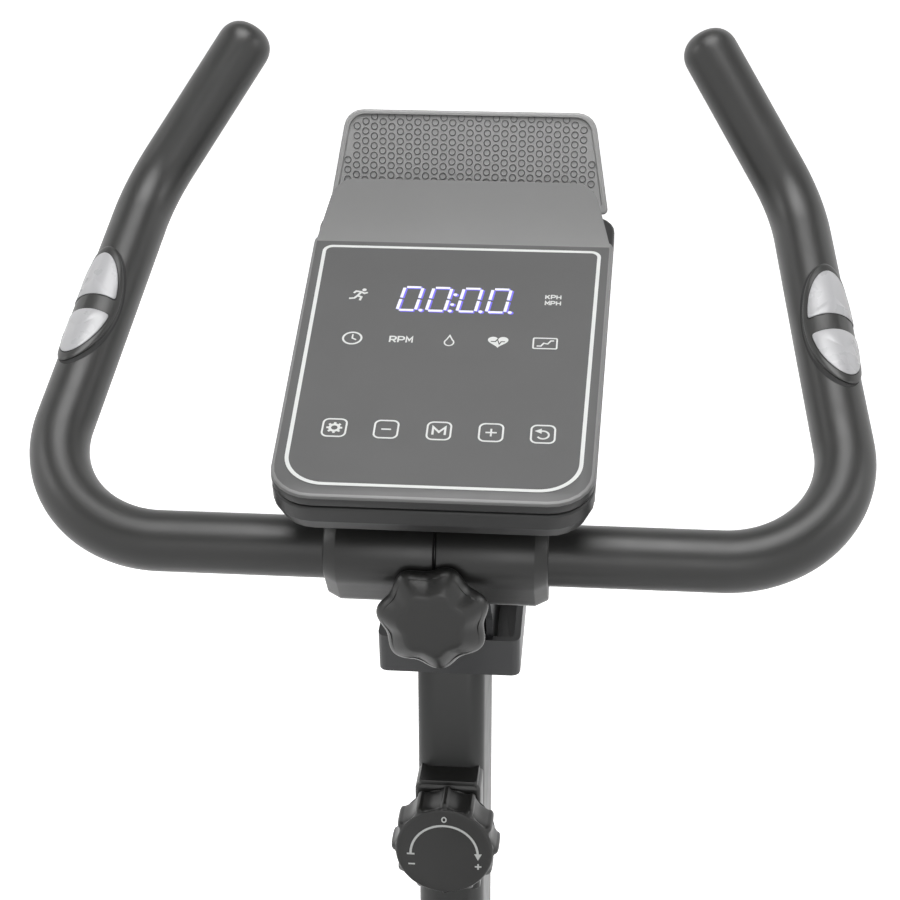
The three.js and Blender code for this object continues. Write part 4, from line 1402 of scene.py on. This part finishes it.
    def build(self) -> None:
        """Builds the case, the prints and the rest."""
        self.build_face()
        for node, bevel, finish in (
                # the base takes the near-black copy of the plastic: painted shade
                ("console_lens", 0.0, "console_panel"), ("console_base", 1.5, "plastic_deep_shade_and_dark_ink"),
                ("tablet_rest", 0.6, "rest_plastic"), ("console_board", 0.0, ""),
                ("console_bracket", 0.8, "")):
            self.bench.softened(node, bevel, finish)
        self.build_prints()
        self.build_rings()


# ---------------------------------------------------------------- saddle


@dataclass
class Saddle:
    """The padded saddle, its piping and its base."""

    bench: Bench
    half: tuple[tuple[float, float], ...] = (
        (0, 140), (22, 134), (34, 112), (40, 60), (58, 8), (92, -42), (106, -84), (92, -122),
        (46, -132))
    piping: float = 1.9
    cap: float = 6.0
    voxel: float = 5.0
    frames: int = 20

    def outline(self, grow: float, softness: float) -> np.ndarray:
        """Makes the saddle's plan, mirrored and rounded, about the cushion's own middle.

        Args:
            grow: The plan's scale.
            softness: The width of the rounding.

        Returns:
            The outline, shape (160, 2).
        """
        right = np.array(self.half, float) - (0, 4)
        left = right[1:][::-1] * (-1, 1)
        return even_loop(np.vstack([right, left]) * grow, 160, softness)

    def applied(self, obj: bpy.types.Object) -> bpy.types.Mesh:
        """Returns a new mesh of the object as its modifiers leave it."""
        graph = bpy.context.evaluated_depsgraph_get()
        return bpy.data.meshes.new_from_object(obj.evaluated_get(graph))

    def swell(self, obj: bpy.types.Object) -> None:
        """Inflates the cushion as cloth, caps how far each point moves, and applies the result.

        Args:
            obj: The cushion, whose mesh is changed.
        """
        work = obj.modifiers.new("remesh", "REMESH")
        work.mode, work.voxel_size = "VOXEL", self.voxel * MM
        start = self.applied(obj)
        obj.modifiers.clear()
        obj.data = start
        cloth = obj.modifiers.new("cloth", "CLOTH")
        cloth.settings.use_pressure = True
        cloth.settings.uniform_pressure_force = 4.0
        cloth.settings.effector_weights.gravity = 0.0
        cloth.settings.quality = 5
        scene = bpy.context.scene
        for number in range(1, self.frames + 1):
            scene.frame_set(number)
        moved = self.applied(obj)
        before, after = (np.empty(len(start.vertices) * 3) for _ in range(2))
        start.vertices.foreach_get("co", before)
        moved.vertices.foreach_get("co", after)
        step = (after - before).reshape(-1, 3)
        size = np.linalg.norm(step, axis=1, keepdims=True)
        step *= np.minimum(1.0, self.cap * MM / np.maximum(size, 1e-9))
        start.vertices.foreach_set("co", (before.reshape(-1, 3) + step).ravel())
        start.update()
        obj.modifiers.clear()
        scene.frame_set(1)

    def build_cushion(self, middle: np.ndarray, tall: float) -> None:
        """Builds a crowned form with a shallow channel along its middle, then swells it.

        The channel is a Gaussian across the saddle, and the nose falls with the square of the
        distance ahead.

        Args:
            middle: The middle of its underside.
            tall: Its height before it swells.
        """
        profile = eased([(0.05, 1), (0.88, 1), (0.975, 4), (1.0, 0.4 * tall),
                         (0.96, 0.72 * tall), (0.81, 0.93 * tall), (0.5, tall), (0.2, tall),
                         (0.03, tall)], 6)
        rings = lift(self.outline(0.985, 14.0), profile)
        x, y, z = np.moveaxis(rings, -1, 0)
        channel = 5.0 * np.exp(-(x / 11) ** 2) * np.clip(z / tall * 2.4 - 1.4, 0, 1)
        nose = 6.0 * np.clip(y / 120, 0, 1) ** 2 * np.clip(z / tall, 0, 1)
        rings[..., 2] -= channel + nose
        obj = self.bench.piece("saddle_pad", skin("saddle", rings + middle, sharp=80),
                               "saddle_cover", ("saddle_cushion",))
        self.swell(obj)
        obj.data.materials.clear()
        obj.data.materials.append(self.bench.materials["saddle_cover"])
        obj.data.shade_smooth()
        smooth = obj.modifiers.new("smooth", "SUBSURF")
        smooth.levels = smooth.render_levels = 1

    def build_piping(self, middle: np.ndarray) -> None:
        """Carries a round cord along the cushion's lower edge.

        Args:
            middle: The middle of the cushion's underside.
        """
        loop = self.outline(0.955, 16.0)
        tangent = unit(np.roll(loop, -1, 0) - np.roll(loop, 1, 0))
        across = np.stack([-tangent[:, 1], tangent[:, 0], np.zeros(len(loop))], 1)
        centre = raised(loop, 4.0) + middle
        turn = around(12)[None, :, None]
        cord = centre[:, None] + self.piping * (
            np.cos(turn) * across[:, None] + np.sin(turn) * UP)
        self.bench.piece("saddle_piping", skin("piping", cord, looped=True), "seam_thread",
                         body="seat", slot="saddle_cover")

    def build(self) -> None:
        """Builds the cushion, its piping, the base under it and the seat post."""
        low, high = (np.array(corner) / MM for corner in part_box("saddle_cushion"))
        middle = np.array([0.0, (low[1] + high[1]) / 2, low[2]])
        self.build_cushion(middle, high[2] - low[2] - self.cap)
        self.build_piping(middle)
        self.bench.softened("saddle_base", 1.2)
        self.bench.softened("seat_post", 0.5)


# ---------------------------------------------------------------- drive and frame


@dataclass
class Chassis:
    """The base, the seat tube, the drive and the shroud: softened solids and a collar."""

    bench: Bench
    bevels: dict[str, float] = field(default_factory=lambda: {
        "shroud": 2.2, "pedal": 1.6, "crank_arm": 1.2, "front_cap": 2.0, "rear_cap": 2.0,
        "transport": 0.8, "seat_height": 1.0, "leveling": 0.8, "flywheel": 0.6,
        "drive_belt": 0.3, "crank_bearing": 0.3})

    def build_seat_collar(self) -> None:
        """Builds the plastic collar round the mouth of the seat tube.

        Each ring is two half circles, grown by the lip's first number, at its second one.
        """
        mouth, radius, inner, apart = 372.0, 23.0, 20.0, 20.0
        place = Place.at(*self.bench.pivot("crank_spin"), 20)
        lip = [(0.5, -22), (4.5, -22), (5.2, -20), (5.2, 1), (4.2, 4), (2.2, 5.4), (0.4, 5.4)]
        turn = np.linspace(0, np.pi, 40)
        rings = []
        for grow, up in lip:
            half = circle(radius + grow if grow > 0.6 else inner, turn) + (0, apart)
            rings.append(raised(even_loop(np.vstack([half, -half]), 120), mouth + up))
        self.bench.piece("seat_collar", skin("collar", np.array(rings), place, looped=True),
                         "black_plastic", slot="black_plastic")

    def build(self) -> None:
        """Softens every solid that no other class has dressed."""
        self.build_seat_collar()
        for node in sorted(set(self.bench.frame["nodes"]) - self.bench.done):
            bevel = next((width for start, width in self.bevels.items()
                          if node.startswith(start)), 0.6)
            self.bench.softened(node, bevel)


# ---------------------------------------------------------------- studio


@dataclass
class Studio:
    """The camera, the pale floor and the soft lights."""

    eye: tuple[float, float, float] = (0.0941, -0.7023, 1.7041)
    right: tuple[float, float, float] = (0.996, 0.0882, -0.0164)
    up: tuple[float, float, float] = (-0.033, 0.5298, 0.8475)
    lens: float = 78.28
    aim: tuple[float, float, float] = (0.0, 0.2, 0.9)
    floor_radius: float = 20.0
    backdrop_height: float = 16.0
    lamps: tuple[tuple[str, tuple[float, float, float], float, float], ...] = (
        ("overhead", (0.0, 0.1, 2.9), 1.2, 26.0), ("front", (0.3, -2.4, 2.4), 1.4, 12.0),
        ("left", (-1.9, 0.2, 2.2), 0.7, 5.5), ("right", (1.9, 0.0, 2.2), 0.7, 6.0))

    def build_camera(self) -> None:
        """Sets the camera by its own axes; its third axis points backwards."""
        data = bpy.data.cameras.new("camera")
        data.lens, data.sensor_width, data.clip_end = self.lens, 36.0, 50.0
        camera = bpy.data.objects.new("camera", data)
        bpy.context.scene.collection.objects.link(camera)
        across = Vector(self.right).normalized()
        above = Vector(self.up).normalized()
        above = (above - across * above.dot(across)).normalized()
        turn = Matrix((across, above, across.cross(above))).transposed()
        camera.matrix_world = Matrix.Translation(self.eye) @ turn.to_4x4()
        bpy.context.scene.camera = camera

    def light(self, name: str, at: tuple[float, float, float], size: float,
              power: float) -> None:
        """Adds a square soft light that faces the bike.

        Args:
            name: The light's name.
            at: Its place, in metres.
            size: The length of its sides, in metres.
            power: Its power, in watts.
        """
        data = bpy.data.lights.new(name, "AREA")
        data.size, data.energy = size, power
        lamp = bpy.data.objects.new(name, data)
        bpy.context.scene.collection.objects.link(lamp)
        lamp.location = at
        lamp.rotation_euler = (Vector(self.aim) - Vector(at)).to_track_quat("-Z", "Y").to_euler()

    def surface(self, name: str, profile: Profile, glow: float) -> None:
        """Turns a profile of radius and height, in metres, into a pale surface of the stage.

        It glows faintly itself, and lights nothing, so that it stays pale without shadows.

        Args:
            name: The surface's name.
            profile: Its two ends.
            glow: The strength of its own light.
        """
        reach, rise = (np.array(profile)[:, i:i + 1] / MM for i in (0, 1))
        mesh = skin(name, spun(reach, rise, around(96)[None]), capped=False)
        surface = bpy.data.objects.new(name, mesh)
        bpy.context.scene.collection.objects.link(surface)
        shader = Shader(f"pale_{name}")
        shader.feed(shader.principled, {
            "Base Color": (0.92, 0.92, 0.92, 1), "Roughness": 0.9,
            "Emission Color": (1, 1, 1, 1), "Emission Strength": glow})
        mesh.materials.append(shader.material)
        surface.visible_diffuse = False

    def build(self) -> None:
        """Builds the floor, the backdrop round it, the faint world light and the lamps."""
        rim = (self.floor_radius, 0.0)
        self.surface("floor", [(0.0, 0.0), rim], 0.72)
        self.surface("backdrop", [rim, (self.floor_radius, self.backdrop_height)], 1.0)
        world = bpy.data.worlds.new("studio")
        bpy.context.scene.world = world
        world.use_nodes = True
        background = world.node_tree.nodes["Background"]
        background.inputs["Color"].default_value = (1, 1, 1, 1)
        background.inputs["Strength"].default_value = 0.15
        for lamp in self.lamps:
            self.light(*lamp)
        sky = bpy.data.lights.new("sky", "SUN")
        sky.energy, sky.angle = 0.75, math.radians(50)
        bpy.context.scene.collection.objects.link(bpy.data.objects.new("sky", sky))
        bpy.context.scene.view_settings.view_transform = "Standard"


def main() -> None:
    """Builds the bike, piece by piece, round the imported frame."""
    logging.basicConfig(level=logging.INFO, format="%(name)s: %(message)s")
    studio = Studio()
    studio.build_camera()
    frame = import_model()
    studio.build()
    bench = Bench(frame)
    for assembly in (Handlebar, Clamp, Post, Console, Saddle, Chassis):
        assembly(bench).build()
        LOG.info("%s is finished", assembly.__name__)


if __name__ == "__main__":
    main()
